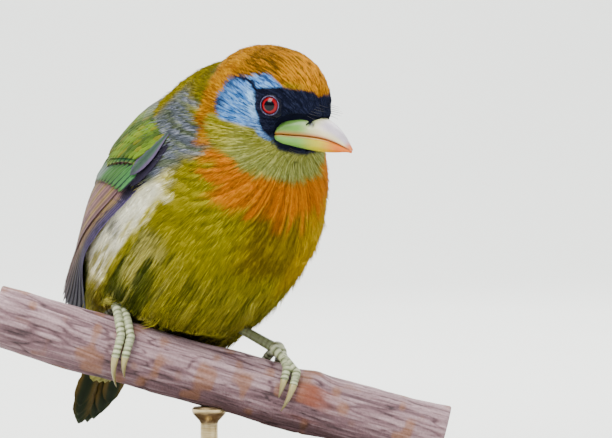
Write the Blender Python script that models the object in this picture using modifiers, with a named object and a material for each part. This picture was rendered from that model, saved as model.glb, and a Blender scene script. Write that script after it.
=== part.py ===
"""A female red-headed barbet, life size, perched on a short cut branch over a display stand.

The branch runs along X, left to right as the viewer sees it, and the bird faces the viewer's right.
Sizes are in millimetres and become metres as each mesh is made.
"""

import math

import bmesh
import bpy
import numpy as np
from mathutils import Matrix, Vector

MM = 0.001
GAP = 0.3

# Where the bird stands: the middle of its body over the branch, and the way it faces
BODY_AT = Vector((-8.9, 8.0, 0.0))
BODY_YAW = -50.0
HEAD_AT = Vector((14.6, -20.0, 109.7))
HEAD_YAW = -35.0
HEAD_PITCH = 18.0

# Torso, from the neck to the root of the tail: forward, up, half width, half depth of back and of belly
TORSO = (
    (34.0, 110.5, 8.0, 10.0, 8.0),
    (30.0, 106.5, 17.5, 20.5, 17.0),
    (24.0, 100.5, 23.5, 26.0, 25.0),
    (13.4, 87.9, 28.5, 30.5, 33.5),
    (0.0, 71.4, 29.5, 30.5, 31.5),
    (-14.6, 57.6, 27.5, 27.0, 26.5),
    (-28.5, 48.5, 20.5, 18.5, 19.5),
    (-39.0, 41.0, 12.5, 11.5, 12.0),
    (-44.0, 34.5, 7.0, 6.5, 7.0),
    (-45.0, 31.5, 3.0, 3.0, 3.0),
)

# Head, from the nape to the root of the bill: forward, half width, height of crown, depth of throat
HEAD = (
    (-21.0, 4.0, 3.5, 4.0),
    (-19.0, 9.0, 7.5, 8.0),
    (-15.0, 13.0, 11.5, 11.0),
    (-9.0, 15.0, 14.0, 13.0),
    (-2.0, 15.3, 15.2, 13.5),
    (4.0, 13.3, 14.4, 12.8),
    (9.0, 10.6, 11.8, 12.6),
    (12.5, 7.8, 8.6, 12.0),
    (15.2, 4.2, 4.0, 9.0),
    (16.2, 1.5, 1.5, 3.0),
)
CHEEK_PINCH = 0.42
PINCH_HEIGHT = -7.0
PINCH_REACH = 3.6
PINCH_FROM = 3.0
PINCH_FULL = 8.5

# Bill, from the gape to the tip: forward, half width, culmen, line of the mouth, keel
BILL = (
    (3.0, 6.3, 1.2, -8.4, -11.6),
    (6.2, 6.3, 1.2, -7.5, -11.0),
    (11.3, 5.7, 0.9, -6.3, -10.2),
    (15.0, 5.0, 0.2, -5.4, -9.6),
    (19.1, 3.9, -0.6, -4.7, -8.8),
    (22.5, 2.7, -1.9, -4.7, -7.8),
    (25.7, 1.3, -3.9, -5.2, -6.6),
    (27.4, 0.5, -5.1, -5.7, -6.3),
)
NOSTRIL_AT = (14.6, 3.6, -1.9)
NOSTRIL_SIZE = (1.3, 1.0, 0.55)

EYE_RADIUS = 3.5
EYE_AT = (4.7, 10.2, 0.5)
EYE_FACES = (0.26, 0.96, 0.03)
LID_RADIUS = 2.95
LID_THICKNESS = 0.6
LID_OUT = 2.15

# The folded wing lies on a form a little larger than the torso, straight to the wing tip
WING_FORM = (
    (22.0, 97.0, 23.0, 24.0, 24.0),
    (12.0, 86.5, 27.6, 30.3, 28.0),
    (0.0, 72.6, 29.4, 31.4, 28.0),
    (-13.0, 60.3, 27.6, 28.2, 25.0),
    (-26.0, 53.5, 23.0, 20.0, 18.0),
    (-40.0, 50.0, 17.0, 13.0, 10.0),
    (-53.5, 46.0, 12.0, 8.0, 6.0),
)
VANE_THICKNESS = 0.5

# Tail: root, tip, and how the ten feathers fan
TAIL_ROOT = (-40.5, 42.0)
TAIL_TIP = (-55.0, 13.0)
TAIL_FEATHERS = 10

# Perch: its axis below the bird, its slope down to the right, its bend, radius and two cut ends
PERCH_AXIS_HEIGHT = 29.2
PERCH_SLOPE = -15.2
PERCH_BEND = 0.00016
PERCH_RADIUS = 8.8
PERCH_LEFT = -70.0
PERCH_RIGHT = 63.0
KNOT_AT = 23.5
KNOT_SIZE = 1.3

FOOT_RIGHT_AT = -36.2
FOOT_LEFT_AT = 10.5
JOINT_HEIGHT = 3.4
JOINT_RADIUS = 2.3
TOE_RADIUS = 1.35

BASE_RADIUS = 48.0
BASE_THICKNESS = 5.0
BASE_AT = (-7.0, 6.0)
ROD_RADIUS = 2.5
ROD_AT = -6.0


def material(name, colour, roughness, metallic=0.0):
    """A plain Principled BSDF material."""
    made = bpy.data.materials.new(name)
    made.use_nodes = True
    shader = made.node_tree.nodes["Principled BSDF"]
    shader.inputs["Base Color"].default_value = (*colour, 1.0)
    shader.inputs["Roughness"].default_value = roughness
    shader.inputs["Metallic"].default_value = metallic
    return made


def add(name, points, faces, finish, folder):
    """A mesh object made from points in millimetres."""
    mesh = bpy.data.meshes.new(name)
    mesh.from_pydata([Vector(p) * MM for p in points], [], faces)
    work = bmesh.new()
    work.from_mesh(mesh)
    bmesh.ops.recalc_face_normals(work, faces=work.faces)
    if work.calc_volume(signed=True) < 0:
        bmesh.ops.reverse_faces(work, faces=work.faces)
    work.to_mesh(mesh)
    work.free()
    made = bpy.data.objects.new(name, mesh)
    if finish:
        mesh.materials.append(finish)
    folder.objects.link(made)
    return made


def loft(name, rings, finish, folder):
    """A closed form through rings of equal count, each end closed by a fan."""
    count = len(rings[0])
    points = [p for ring in rings for p in ring]
    faces = []
    for i in range(len(rings) - 1):
        for j in range(count):
            k = (j + 1) % count
            faces.append((i * count + j, i * count + k, (i + 1) * count + k, (i + 1) * count + j))
    for ring, start in ((rings[0], 0), (rings[-1], (len(rings) - 1) * count)):
        points.append(sum((Vector(p) for p in ring), Vector()) / count)
        for j in range(count):
            faces.append((start + j, start + (j + 1) % count, len(points) - 1))
    return add(name, points, faces, finish, folder)


def applied(made):
    """The object with its modifiers applied."""
    bpy.context.view_layer.update()
    graph = bpy.context.evaluated_depsgraph_get()
    mesh = bpy.data.meshes.new_from_object(made.evaluated_get(graph))
    made.modifiers.clear()
    made.data = mesh
    return made


def largest_surface(made):
    """Keeps only the largest closed surface of the object."""
    work = bmesh.new()
    work.from_mesh(made.data)
    bmesh.ops.remove_doubles(work, verts=work.verts, dist=1e-7)
    left = set(work.faces)
    shells = []
    while left:
        shell = {left.pop()}
        edge = list(shell)
        while edge:
            face = edge.pop()
            for side in face.edges:
                for other in side.link_faces:
                    if other in left:
                        left.discard(other)
                        shell.add(other)
                        edge.append(other)
        shells.append(shell)
    keep = max(shells, key=lambda shell: sum(face.calc_area() for face in shell))
    loose = [face for face in work.faces if face not in keep]
    bmesh.ops.delete(work, geom=loose, context="FACES")
    work.to_mesh(made.data)
    work.free()
    return made


def combine(made, others, operation, solver="EXACT"):
    """One Boolean of the object with a collection of closed meshes, applied, and the others removed."""
    tools = bpy.data.collections.new("tools")
    bpy.context.scene.collection.children.link(tools)
    for other in others:
        for home in list(other.users_collection):
            home.objects.unlink(other)
        tools.objects.link(other)
    boolean = made.modifiers.new("combine", "BOOLEAN")
    boolean.operation = operation
    boolean.operand_type = "COLLECTION"
    boolean.collection = tools
    boolean.solver = solver
    applied(made)
    for other in list(tools.objects):
        bpy.data.objects.remove(other)
    bpy.data.collections.remove(tools)
    return largest_surface(made)


def placed(made, matrix):
    """The object's mesh moved by a matrix in millimetres."""
    move = matrix.copy()
    move.translation = matrix.translation * MM
    made.data.transform(move)
    if move.determinant() < 0:
        made.data.flip_normals()
    return made


def along(stations, share):
    """The values at a share from 0 to 1 of a smooth curve through evenly spaced stations."""
    rows = np.array(stations, float)
    at = min(max(share, 0.0), 1.0) * (len(rows) - 1)
    i = min(int(at), len(rows) - 2)
    x = at - i
    before = rows[i - 1] if i else 2 * rows[0] - rows[1]
    after = rows[i + 2] if i + 2 < len(rows) else 2 * rows[-1] - rows[-2]
    a, b = rows[i], rows[i + 1]
    return 0.5 * (2 * a + (b - before) * x + (2 * before - 5 * a + 4 * b - after) * x**2
                  + (3 * a - before - 3 * b + after) * x**3)


def body_point(stations, share, angle, grow=0.0):
    """A point on the body, in the bird's own frame: angle 0 is its right side and 90 its back."""
    forward, up, wide, back, belly = along(stations, share)
    ahead = along(stations, share + 0.01)[:2] - along(stations, share - 0.01)[:2]
    ahead /= np.linalg.norm(ahead)
    dorsal = np.array([ahead[1], -ahead[0]])
    turn = math.radians(angle)
    depth = (back if math.sin(turn) > 0 else belly) + grow
    forward += dorsal[0] * depth * math.sin(turn)
    up += dorsal[1] * depth * math.sin(turn)
    return Vector((forward, -(wide + grow) * math.cos(turn), up))


def body_out(stations, share, angle):
    """The way out of the body's surface at that place."""
    across = body_point(stations, share, angle + 2) - body_point(stations, share, angle - 2)
    lengthwise = body_point(stations, share + 0.01, angle) - body_point(stations, share - 0.01, angle)
    out = across.cross(lengthwise).normalized()
    inside = body_point(stations, share, angle, -8.0) - body_point(stations, share, angle)
    return -out if out.dot(inside) > 0 else out


def smooth_step(low, high, value):
    x = min(max((value - low) / (high - low), 0.0), 1.0)
    return x * x * (3 - 2 * x)


bird = Matrix.Translation(BODY_AT) @ Matrix.Rotation(math.radians(BODY_YAW), 4, "Z")
head_frame = (Matrix.Translation(HEAD_AT) @ Matrix.Rotation(math.radians(HEAD_YAW), 4, "Z")
              @ Matrix.Rotation(math.radians(HEAD_PITCH), 4, "Y"))
slope = math.radians(PERCH_SLOPE)
perch_along = Vector((math.cos(slope), 0.0, math.sin(slope)))
perch_up = Vector((-math.sin(slope), 0.0, math.cos(slope)))
perch_front = Vector((0.0, -1.0, 0.0))
perch_middle = Vector((0.0, 0.0, PERCH_AXIS_HEIGHT))


def perch_point(place, angle, radius):
    """A point round the perch: angle 0 is its top and 90 its front."""
    turn = math.radians(angle)
    axis = perch_middle + perch_along * place + perch_up * (PERCH_BEND * place * place)
    return axis + (perch_up * math.cos(turn) + perch_front * math.sin(turn)) * radius


def perch_radius(place, angle):
    """The bark's radius there, with slow swells and the knot."""
    turn = math.radians(angle)
    swell = 0.22 * math.sin(place / 9.0 + 2 * turn) + 0.18 * math.sin(place / 5.3 - 3 * turn + 1.0)
    wide = math.exp(-((place - KNOT_AT) / 3.5) ** 2) * max(0.0, math.cos(turn - 0.6)) ** 4
    return PERCH_RADIUS + swell + KNOT_SIZE * wide


for old in list(bpy.data.objects):
    bpy.data.objects.remove(old)
parts = bpy.data.collections.new("red_headed_barbet")
cutters = bpy.data.collections.new("cutters")
bpy.context.scene.collection.children.link(parts)
bpy.context.scene.collection.children.link(cutters)

olive = material("olive_plumage", (0.42, 0.40, 0.05), 0.8)
orange = material("orange_plumage", (0.85, 0.36, 0.03), 0.8)
green = material("green_wing", (0.16, 0.26, 0.08), 0.7)
brown = material("tail_brown", (0.22, 0.17, 0.08), 0.7)
ivory = material("bill_horn", (0.72, 0.74, 0.40), 0.35)
red = material("eye_red", (0.45, 0.03, 0.03), 0.1)
scaly = material("leg_skin", (0.38, 0.42, 0.30), 0.55)
horn = material("claw_horn", (0.30, 0.30, 0.16), 0.4)
bark = material("bark", (0.36, 0.24, 0.21), 0.85)
oak = material("stand_wood", (0.10, 0.07, 0.05), 0.45)
brass = material("stand_metal", (0.60, 0.55, 0.45), 0.35, 1.0)


# Torso and head are modelled whole, remeshed into one skin, and then parted by thin cuts
RING_POINTS = 28
TORSO_RINGS = 30
HEAD_RINGS = 22
SKIN_VOXEL = 1.1
SKIN_FACES = 2300


def torso_form(name, grow, folder):
    rings = []
    for i in range(TORSO_RINGS):
        share = i / (TORSO_RINGS - 1)
        rings.append([body_point(TORSO, share, 360 * j / RING_POINTS, grow) for j in range(RING_POINTS)])
    return placed(loft(name, rings, olive, folder), bird)


def head_form(name, grow, folder):
    rings = []
    for i in range(HEAD_RINGS):
        forward, wide, crown, throat = along(HEAD, i / (HEAD_RINGS - 1))
        pinch = CHEEK_PINCH * smooth_step(PINCH_FROM, PINCH_FULL, forward)
        ring = []
        for j in range(RING_POINTS):
            turn = 2 * math.pi * j / RING_POINTS
            height = ((crown if math.sin(turn) > 0 else throat) + grow) * math.sin(turn)
            side = (wide + grow) * math.cos(turn)
            side *= 1 - pinch * math.exp(-((height - PINCH_HEIGHT) / PINCH_REACH) ** 2)
            ring.append(Vector((forward, side, height)))
        rings.append(ring)
    return placed(loft(name, rings, olive, folder), head_frame)


def bill_form(name, upper, grow, folder):
    """One half of the bill: the upper between culmen and mouth, or the lower between mouth and keel."""
    rings = []
    count = 14
    for i in range(count):
        forward, wide, culmen, mouth, keel = along(BILL, i / (count - 1))
        wide += grow
        edge = mouth + (GAP / 2 if upper else -GAP / 2)
        far = culmen + grow if upper else keel - grow
        if not upper:
            wide -= 0.35 * min(1.0, wide)
        near = edge - grow if upper else edge + grow
        ring = [(0.0, near)]
        for side, height in ((1.0, 0.0), (0.93, 0.36), (0.62, 0.78), (0.0, 1.0),
                             (-0.62, 0.78), (-0.93, 0.36), (-1.0, 0.0)):
            ring.append((side * wide, near + (far - near) * height))
        start = forward - (grow if i == 0 else 0) + (grow if i == count - 1 else 0)
        rings.append([Vector((start, side, height)) for side, height in ring])
    return placed(loft(name, rings, ivory, folder), head_frame)


def ball(name, centre, radius, finish, folder, segments=18, rings=12):
    """A sphere from Blender's own primitive."""
    work = bmesh.new()
    bmesh.ops.create_uvsphere(work, u_segments=segments, v_segments=rings, radius=radius * MM)
    mesh = bpy.data.meshes.new(name)
    work.to_mesh(mesh)
    work.free()
    made = bpy.data.objects.new(name, mesh)
    made.data.transform(Matrix.Translation(Vector(centre) * MM))
    if finish:
        mesh.materials.append(finish)
    folder.objects.link(made)
    return made


def ring_of(name, centre, axis, radius, thickness, folder):
    """A torus round an axis."""
    turn = Vector(axis).to_track_quat("Z", "Y").to_matrix()
    points, faces = [], []
    around, section = 20, 6
    for i in range(around):
        a = 2 * math.pi * i / around
        for j in range(section):
            b = 2 * math.pi * j / section
            reach = radius + thickness * math.cos(b)
            points.append(Vector(centre) + turn @ Vector((reach * math.cos(a), reach * math.sin(a),
                                                          thickness * math.sin(b))))
            k, m = (i + 1) % around, (j + 1) % section
            faces.append((i * section + j, k * section + j, k * section + m, i * section + m))
    return add(name, points, faces, olive, folder)


def half(source, name, point, normal, finish, keep_front):
    """A copy of the source on one side of a plane, its cut face filled flat."""
    work = bmesh.new()
    work.from_mesh(source.data)
    shift = Vector(normal) * (GAP / 2 if keep_front else -GAP / 2)
    bmesh.ops.bisect_plane(work, geom=work.verts[:] + work.edges[:] + work.faces[:], dist=1e-7,
                           plane_co=(Vector(point) + shift) * MM, plane_no=normal,
                           clear_inner=keep_front, clear_outer=not keep_front)
    edges = [edge for edge in work.edges if edge.is_boundary]
    bmesh.ops.triangle_fill(work, use_beauty=True, edges=edges, normal=normal)
    bmesh.ops.recalc_face_normals(work, faces=work.faces)
    mesh = bpy.data.meshes.new(name)
    work.to_mesh(mesh)
    work.free()
    mesh.materials.clear()
    mesh.materials.append(finish)
    made = bpy.data.objects.new(name, mesh)
    parts.objects.link(made)
    return largest_surface(made)


body = torso_form("body", 0.0, parts)
head_solid = head_form("head_solid", 0.0, parts)
combine(body, [head_solid], "UNION")
remesh = body.modifiers.new("skin", "REMESH")
remesh.mode = "VOXEL"
remesh.voxel_size = SKIN_VOXEL * MM
even = body.modifiers.new("even", "SMOOTH")
even.factor = 0.5
even.iterations = 20
applied(body)
fewer = body.modifiers.new("fewer", "DECIMATE")
fewer.ratio = SKIN_FACES / max(1, sum(len(f.vertices) - 2 for f in body.data.polygons))
applied(body)

# The belly feathers part round the branch
groove = loft("groove", [[perch_point(place, 360 * j / 24, PERCH_RADIUS + 1.0) for j in range(24)]
                         for place in (-90.0, 90.0)], None, cutters)
combine(body, [groove], "DIFFERENCE")

flat_bird = bird.to_3x3()
tail_root = Vector((TAIL_ROOT[0], 0.0, TAIL_ROOT[1]))
tail_tip = Vector((TAIL_TIP[0], 0.0, TAIL_TIP[1]))
tail_way = (tail_tip - tail_root).normalized()
head_cut_at = bird @ Vector((26.5, 0.0, 101.4))
head_cut_way = flat_bird @ Vector((0.77, 0.0, 0.64)).normalized()
neck_cut_at = bird @ Vector((16.0, 0.0, 92.0))
neck_cut_way = flat_bird @ Vector((0.72, 0.0, 0.69)).normalized()
head = half(body, "head", head_cut_at, head_cut_way, orange, True)
rest = half(body, "rest", head_cut_at, head_cut_way, olive, False)
neck = half(rest, "neck", neck_cut_at, neck_cut_way, orange, True)
trunk = half(rest, "trunk", neck_cut_at, neck_cut_way, olive, False)
tail_cut_at = bird @ (tail_root - tail_way * (1 + GAP / 2))
torso = half(trunk, "torso", tail_cut_at, flat_bird @ tail_way, olive, False)
for spent in (body, rest, trunk):
    bpy.data.objects.remove(spent)


# Bill, with a nostril pit on each side of the upper half
bill_upper = bill_form("bill_upper", True, 0.0, parts)
bill_lower = bill_form("bill_lower", False, 0.0, parts)
pits = []
for side in (1, -1):
    pit = ball("pit", (0, 0, 0), 1.0, None, cutters, 10, 6)
    x, y, z = NOSTRIL_AT
    placed(pit, head_frame @ Matrix.Translation((x, side * y, z)) @ Matrix.Diagonal((*NOSTRIL_SIZE, 1.0)))
    pits.append(pit)
combine(bill_upper, pits, "DIFFERENCE")

# Eyes in their sockets, each with a ring of lids
eyes, sockets, lids = [], [], []
for name, side in (("eye_right", -1), ("eye_left", 1)):
    x, y, z = EYE_AT
    centre = head_frame @ Vector((x, side * y, z))
    out = head_frame.to_3x3() @ Vector((EYE_FACES[0], side * EYE_FACES[1], EYE_FACES[2])).normalized()
    eyes.append(ball(name, centre, EYE_RADIUS, red, parts, 16, 10))
    sockets.append(ball("socket", centre, EYE_RADIUS + GAP, None, cutters))
    lids.append(ring_of("lid", centre + out * LID_OUT, out, LID_RADIUS, LID_THICKNESS, cutters))
combine(head, lids, "UNION")
seat = [bill_form("seat_upper", True, GAP, cutters), bill_form("seat_lower", False, GAP, cutters)]
combine(head, sockets + seat, "DIFFERENCE")


def vane(name, centres, outs, half_width, tilt, camber=0.06):
    """One feather's vane along a line of centres: flat, thin, split alike on both faces."""
    points, faces = [], []
    steps = len(centres)
    for i in range(steps):
        x = i / (steps - 1)
        ahead = centres[min(i + 1, steps - 1)] - centres[max(i - 1, 0)]
        out = outs[i].normalized()
        across = ahead.cross(out).normalized()
        across, out = (across * math.cos(tilt) + out * math.sin(tilt),
                       out * math.cos(tilt) - across * math.sin(tilt))
        wide = half_width(x)
        thick = VANE_THICKNESS * (1.0 if x < 0.95 else 0.6)
        for face in (0.5, -0.5):
            for column in (-1, 0, 1):
                lift = camber * wide * (1 - column * column)
                points.append(centres[i] + across * (wide * column) + out * (lift + face * thick))
    for i in range(steps - 1):
        for j in range(2):
            a, b, c, d = i * 6 + j, i * 6 + j + 1, (i + 1) * 6 + j + 1, (i + 1) * 6 + j
            faces += [(a, b, c), (a, c, d), (a + 3, c + 3, b + 3), (a + 3, d + 3, c + 3)]
        for side in (0, 2):
            a, b, c, d = i * 6 + side, i * 6 + side + 3, (i + 1) * 6 + side + 3, (i + 1) * 6 + side
            faces += [(a, b, c), (a, c, d)]
    last = (steps - 1) * 6
    for start in (0, last):
        faces += [(start, start + 1, start + 4), (start, start + 4, start + 3),
                  (start + 1, start + 2, start + 5), (start + 1, start + 5, start + 4)]
    return add(name, points, faces, None, cutters)


def feather_width(wide, root=0.45, tip=0.35):
    """The half width along a feather: narrow at the root, full past the middle, rounded at the tip."""
    def at(x):
        open_out = root + (1 - root) * smooth_step(0.0, 0.35, x)
        close = 1 - (1 - tip) * smooth_step(0.72, 1.0, x) ** 1.5
        return wide * open_out * close
    return at


def wing_feather(root, tip, wide, low, high, tilt, steps=6, bow=0.0, point=0.35):
    """A feather from root to tip, each a share and an angle on the wing form, lifted from low to high."""
    centres, outs = [], []
    for i in range(steps):
        x = i / (steps - 1)
        share = root[0] + (tip[0] - root[0]) * x
        angle = root[1] + (tip[1] - root[1]) * x + bow * math.sin(math.pi * x)
        out = body_out(WING_FORM, share, angle)
        centres.append(body_point(WING_FORM, share, angle) + out * (low + (high - low) * x))
        outs.append(out)
    return vane("feather", centres, outs, feather_width(wide, tip=point), tilt)


def flight_feather(root, bend, tip, wide, lifts, tilt, steps=7, point=0.6):
    """A long feather that leaves its root through a bend and runs on nearly straight to its tip."""
    spots, ways = [], []
    for (share, angle), lift in zip((root, bend, tip), lifts):
        ways.append(body_out(WING_FORM, share, angle))
        spots.append(body_point(WING_FORM, share, angle) + ways[-1] * lift)
    k = BEND_AT
    pull = (spots[1] - spots[0] * (1 - k) ** 2 - spots[2] * k * k) / (2 * k * (1 - k))
    centres, outs = [], []
    for i in range(steps):
        x = i / (steps - 1)
        centres.append(spots[0] * (1 - x) ** 2 + pull * (2 * x * (1 - x)) + spots[2] * x * x)
        outs.append(ways[0].lerp(ways[1], x / k) if x < k else ways[1].lerp(ways[2], (x - k) / (1 - k)))
    return vane("feather", centres, outs, feather_width(wide, tip=point), tilt)


def wing_core():
    """The arm and hand under the coverts, a thick lens that every feather roots in."""
    rings = []
    count = 8
    for i in range(count):
        x = i / (count - 1)
        share = 0.11 + 0.37 * x
        low = 4.0 + 22.0 * x
        high = 66.0 - 4.0 * x
        dome = math.sin(math.pi * (0.12 + 0.80 * x)) ** 0.7
        outer, inner = [], []
        for j in range(6):
            y = j / 5
            angle = low + (high - low) * y
            bulge = math.sin(math.pi * (0.08 + 0.84 * y)) ** 0.6
            outer.append(body_point(WING_FORM, share, angle, 0.9 + 2.6 * dome * bulge))
            inner.append(body_point(WING_FORM, share, angle, 0.35))
        rings.append(outer + inner[::-1])
    return loft("wing", rings, green, parts)


PRIMARIES = 6
SECONDARIES = 7
GREATER_COVERTS = 7
MEDIAN_COVERTS = 6
BEND_AT = 0.35


def uneven(i):
    """A small natural unevenness from one feather to the next, between -1 and 1."""
    return math.sin(12.9 * i + 1.7)


def wing_pieces():
    """The feathers of the right wing, in the bird's own frame, from the lowest layer to the highest."""
    pieces = []
    tilt = math.radians(-9)
    for i in range(PRIMARIES):
        x = i / (PRIMARIES - 1)
        root = (0.40 - 0.02 * x, 20 + 13 * x)
        bend = (0.54, 23 + 17 * x)
        tip = (0.72 + 0.40 * x - 0.26 * x * x + 0.004 * uneven(i), -6 + 46 * x)
        pieces.append(flight_feather(root, bend, tip, 3.0, (1.1, 1.5 + 0.2 * x, 1.2), tilt))
    for i in range(SECONDARIES):
        x = i / (SECONDARIES - 1)
        root = (0.36 - 0.02 * x, 36 + 22 * x)
        bend = (0.50, 38 + 26 * x)
        tip = (0.80 - 0.10 * x + 0.004 * uneven(i + 9), 40 + 34 * x + 0.5 * uneven(i))
        pieces.append(flight_feather(root, bend, tip, 3.4, (1.6, 2.9, 2.3), tilt, point=0.5))
    for i in range(GREATER_COVERTS):
        x = i / (GREATER_COVERTS - 1)
        root = (0.27 - 0.02 * x, 18 + 38 * x)
        tip = (0.56 - 0.05 * x + 0.005 * uneven(i + 3), 29 + 38 * x + 0.5 * uneven(i))
        pieces.append(wing_feather(root, tip, 3.4, 2.4, 2.6 + 0.05 * uneven(i), tilt, steps=5, point=0.5))
    for i in range(MEDIAN_COVERTS):
        x = i / (MEDIAN_COVERTS - 1)
        root = (0.22, 16 + 38 * x)
        tip = (0.41 - 0.03 * x + 0.005 * uneven(i + 5), 22 + 40 * x + 0.5 * uneven(i))
        pieces.append(wing_feather(root, tip, 3.4, 3.1, 3.8 + 0.05 * uneven(i + 2), tilt, steps=4, point=0.5))
    return pieces


def make_wing(name, mirrored):
    wing = combine(wing_core(), wing_pieces(), "UNION", "MANIFOLD")
    under = torso_form("under", GAP + 0.1, cutters)
    placed(under, bird.inverted())
    combine(wing, [under], "DIFFERENCE", "MANIFOLD")
    wing.name = name
    wing.data.name = name
    flip = Matrix.Diagonal((1.0, -1.0, 1.0, 1.0)) if mirrored else Matrix.Identity(4)
    return placed(wing, bird @ flip)


wing_right = make_wing("wing_right", False)
wing_left = make_wing("wing_left", True)


def make_tail():
    """Ten tail feathers in a closed fan, the middle pair on top, rooted in one short core."""
    root, way = tail_root, tail_way
    out = Vector((way.z, 0.0, -way.x))
    pieces = []
    for i in range(TAIL_FEATHERS):
        rank = i // 2
        side = 1 if i % 2 else -1
        layer = out * (1.9 - 0.85 * rank + (0.42 if side > 0 else 0.0))
        spread = side * (0.5 + 1.3 * rank)
        length = (tail_tip - root).length - 0.5 * rank * rank
        centres, outs = [], []
        for step in range(5):
            x = step / 4
            aside = Vector((0.0, spread * (0.75 + 0.25 * x), 0.0))
            droop = out * (0.9 * math.sin(math.pi * x * 0.5))
            centres.append(root + way * (length * x) + layer + aside - droop)
            outs.append(out)
        pieces.append(vane("rectrix", centres, outs, feather_width(3.9, 0.5, 0.45), 0.0, 0.03))
    rings = []
    stations = ((-1.0, 10.5, 8.5), (3.0, 9.8, 7.6), (8.0, 8.0, 5.4), (13.0, 6.0, 3.4), (17.0, 3.0, 1.2))
    for x, wide, deep in stations:
        centre = root + way * x - out * 0.2
        rings.append([centre + Vector((0.0, wide * math.cos(a), 0.0)) + out * (deep * math.sin(a))
                      for a in (2 * math.pi * j / 12 for j in range(12))])
    tail = loft("tail", rings, brown, parts)
    return placed(combine(tail, pieces, "UNION", "MANIFOLD"), bird)


tail = make_tail()


def tube(name, centres, radii, finish, folder, sides=8, grow=0.0):
    """A tube of changing radius along a line of centres, longer at both ends where it is grown."""
    rings = []
    first = (centres[0] - centres[1]).normalized() * grow
    last = (centres[-1] - centres[-2]).normalized() * grow
    centres = [centres[0] + first, *centres[1:-1], centres[-1] + last]
    radii = [radius + grow for radius in radii]
    guide = Vector((0.3, 0.9, 0.2))
    for i, centre in enumerate(centres):
        ahead = (centres[min(i + 1, len(centres) - 1)] - centres[max(i - 1, 0)]).normalized()
        across = ahead.cross(guide).normalized()
        other = ahead.cross(across)
        rings.append([centre + (across * math.cos(a) + other * math.sin(a)) * radii[i]
                      for a in (2 * math.pi * j / sides for j in range(sides))])
    return loft(name, rings, finish, folder)


# Room that the torso leaves for the feet and shanks
room = []

# Each toe: how far its end lies along the perch, its end's angle, the same for its claw, the claw's lift
TOES_RIGHT = ((2.9, 99.0, 5.4, 146.0, 2.2), (5.6, 95.0, 7.0, 128.0, 0.8),
              (-3.4, -72.0, -3.6, -106.0, 0.6), (1.6, -90.0, 2.0, -126.0, 0.6))
TOES_LEFT = ((7.1, 66.0, 5.6, 112.0, 1.2), (4.2, 62.0, 4.0, 92.0, 0.6),
             (-2.8, -70.0, -3.4, -104.0, 0.6), (1.8, -86.0, 1.6, -122.0, 0.6))


ACROSS = (-0.9, 1.4, -0.7, 1.0)


def toe_reach(place, angle, radius):
    """How far a toe's or claw's middle is from the perch's axis as it lies on the bark."""
    return perch_radius(place, angle) + GAP + radius


def make_foot(side, place, toes_of_foot):
    """Two toes forward and two back round the perch, each with its claw as a node of its own."""
    joint = perch_point(place, 0.0, perch_radius(place, 0.0) + JOINT_HEIGHT)
    toes = []
    for number, (shift, end, claw_shift, claw_end, claw_lift) in enumerate(toes_of_foot, 1):
        start = math.copysign(7.0, end)
        across = ACROSS[number - 1]
        centres, radii = [], []
        count = 8
        for i in range(count):
            x = i / (count - 1)
            angle = start + (end - start) * x
            there = place + across + (shift - across) * min(1.0, 1.7 * x)
            radius = (TOE_RADIUS - 0.25 * x) * (1.0 + 0.09 * math.cos(2 * math.pi * x * 3))
            arch = (JOINT_HEIGHT - TOE_RADIUS - GAP) * (1 - x) ** 3
            centres.append(perch_point(there, angle, toe_reach(there, angle, radius) + arch))
            radii.append(radius)
        toes.append(tube("toe", centres, radii, scaly, cutters))
        room.append(tube("toe_room", centres, radii, None, cutters, grow=GAP))
        ahead = (centres[-1] - centres[-2]).normalized()
        claw_place = place + claw_shift
        tip = perch_point(claw_place, claw_end, toe_reach(claw_place, claw_end, 0.2) + claw_lift)
        begin = centres[-1] + ahead * (GAP + 0.05)
        middle = begin + ahead * ((tip - begin).length * 0.5)
        claw_centres = [begin * (1 - x) ** 2 + middle * (2 * x * (1 - x)) + tip * x * x
                        for x in (i / 6 for i in range(7))]
        claw_radii = [0.95 * (1 - x) + 0.16 * x for x in (i / 6 for i in range(7))]
        tube(f"claw_{side}_{number}", claw_centres, claw_radii, horn, parts, 7)
        room.append(tube("claw_room", claw_centres, claw_radii, None, cutters, 7, GAP))
    foot = ball(f"foot_{side}", joint, JOINT_RADIUS, scaly, parts, 14, 8)
    room.append(ball("joint_room", joint, JOINT_RADIUS + GAP + 0.05, None, cutters, 16, 10))
    combine(foot, toes, "UNION")
    return joint, foot


joint_right, foot_right = make_foot("right", FOOT_RIGHT_AT, TOES_RIGHT)
joint_left, foot_left = make_foot("left", FOOT_LEFT_AT, TOES_LEFT)


def make_tarsus(name, joint, top):
    """The shank from the foot's joint up into the belly feathers."""
    way = (top - joint).normalized()
    centres = [joint + way * 1.2]
    length = (top - joint).length
    for x in (0.2, 0.45, 0.7, 1.0):
        centres.append(joint + way * (length * x + 2.0))
    radii = [1.5, 1.4, 1.35, 1.5, 1.9]
    shank = tube(name, centres, radii, scaly, parts, 10)
    near = []
    for spare in room:
        other = spare.copy()
        other.data = spare.data.copy()
        cutters.objects.link(other)
        near.append(other)
    for other in near:
        combine(shank, [other], "DIFFERENCE")
    room.append(tube("shank_room", centres, radii, None, cutters, 10, GAP))
    return shank


tarsus_right = make_tarsus("tarsus_right", joint_right, Vector((-27.0, 6.0, 60.0)))
tarsus_left = make_tarsus("tarsus_left", joint_left, Vector((-5.0, 6.0, 48.5)))
for spare in room:
    combine(torso, [spare], "DIFFERENCE")


# Perch with its bark swells, cut square at both ends
perch_rings = []
PERCH_STEPS = 30
for i in range(PERCH_STEPS):
    place = PERCH_LEFT + (PERCH_RIGHT - PERCH_LEFT) * i / (PERCH_STEPS - 1)
    perch_rings.append([perch_point(place, 360 * j / 16, perch_radius(place, 360 * j / 16))
                        for j in range(16)])
perch = loft("perch_branch", perch_rings, bark, parts)

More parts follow.
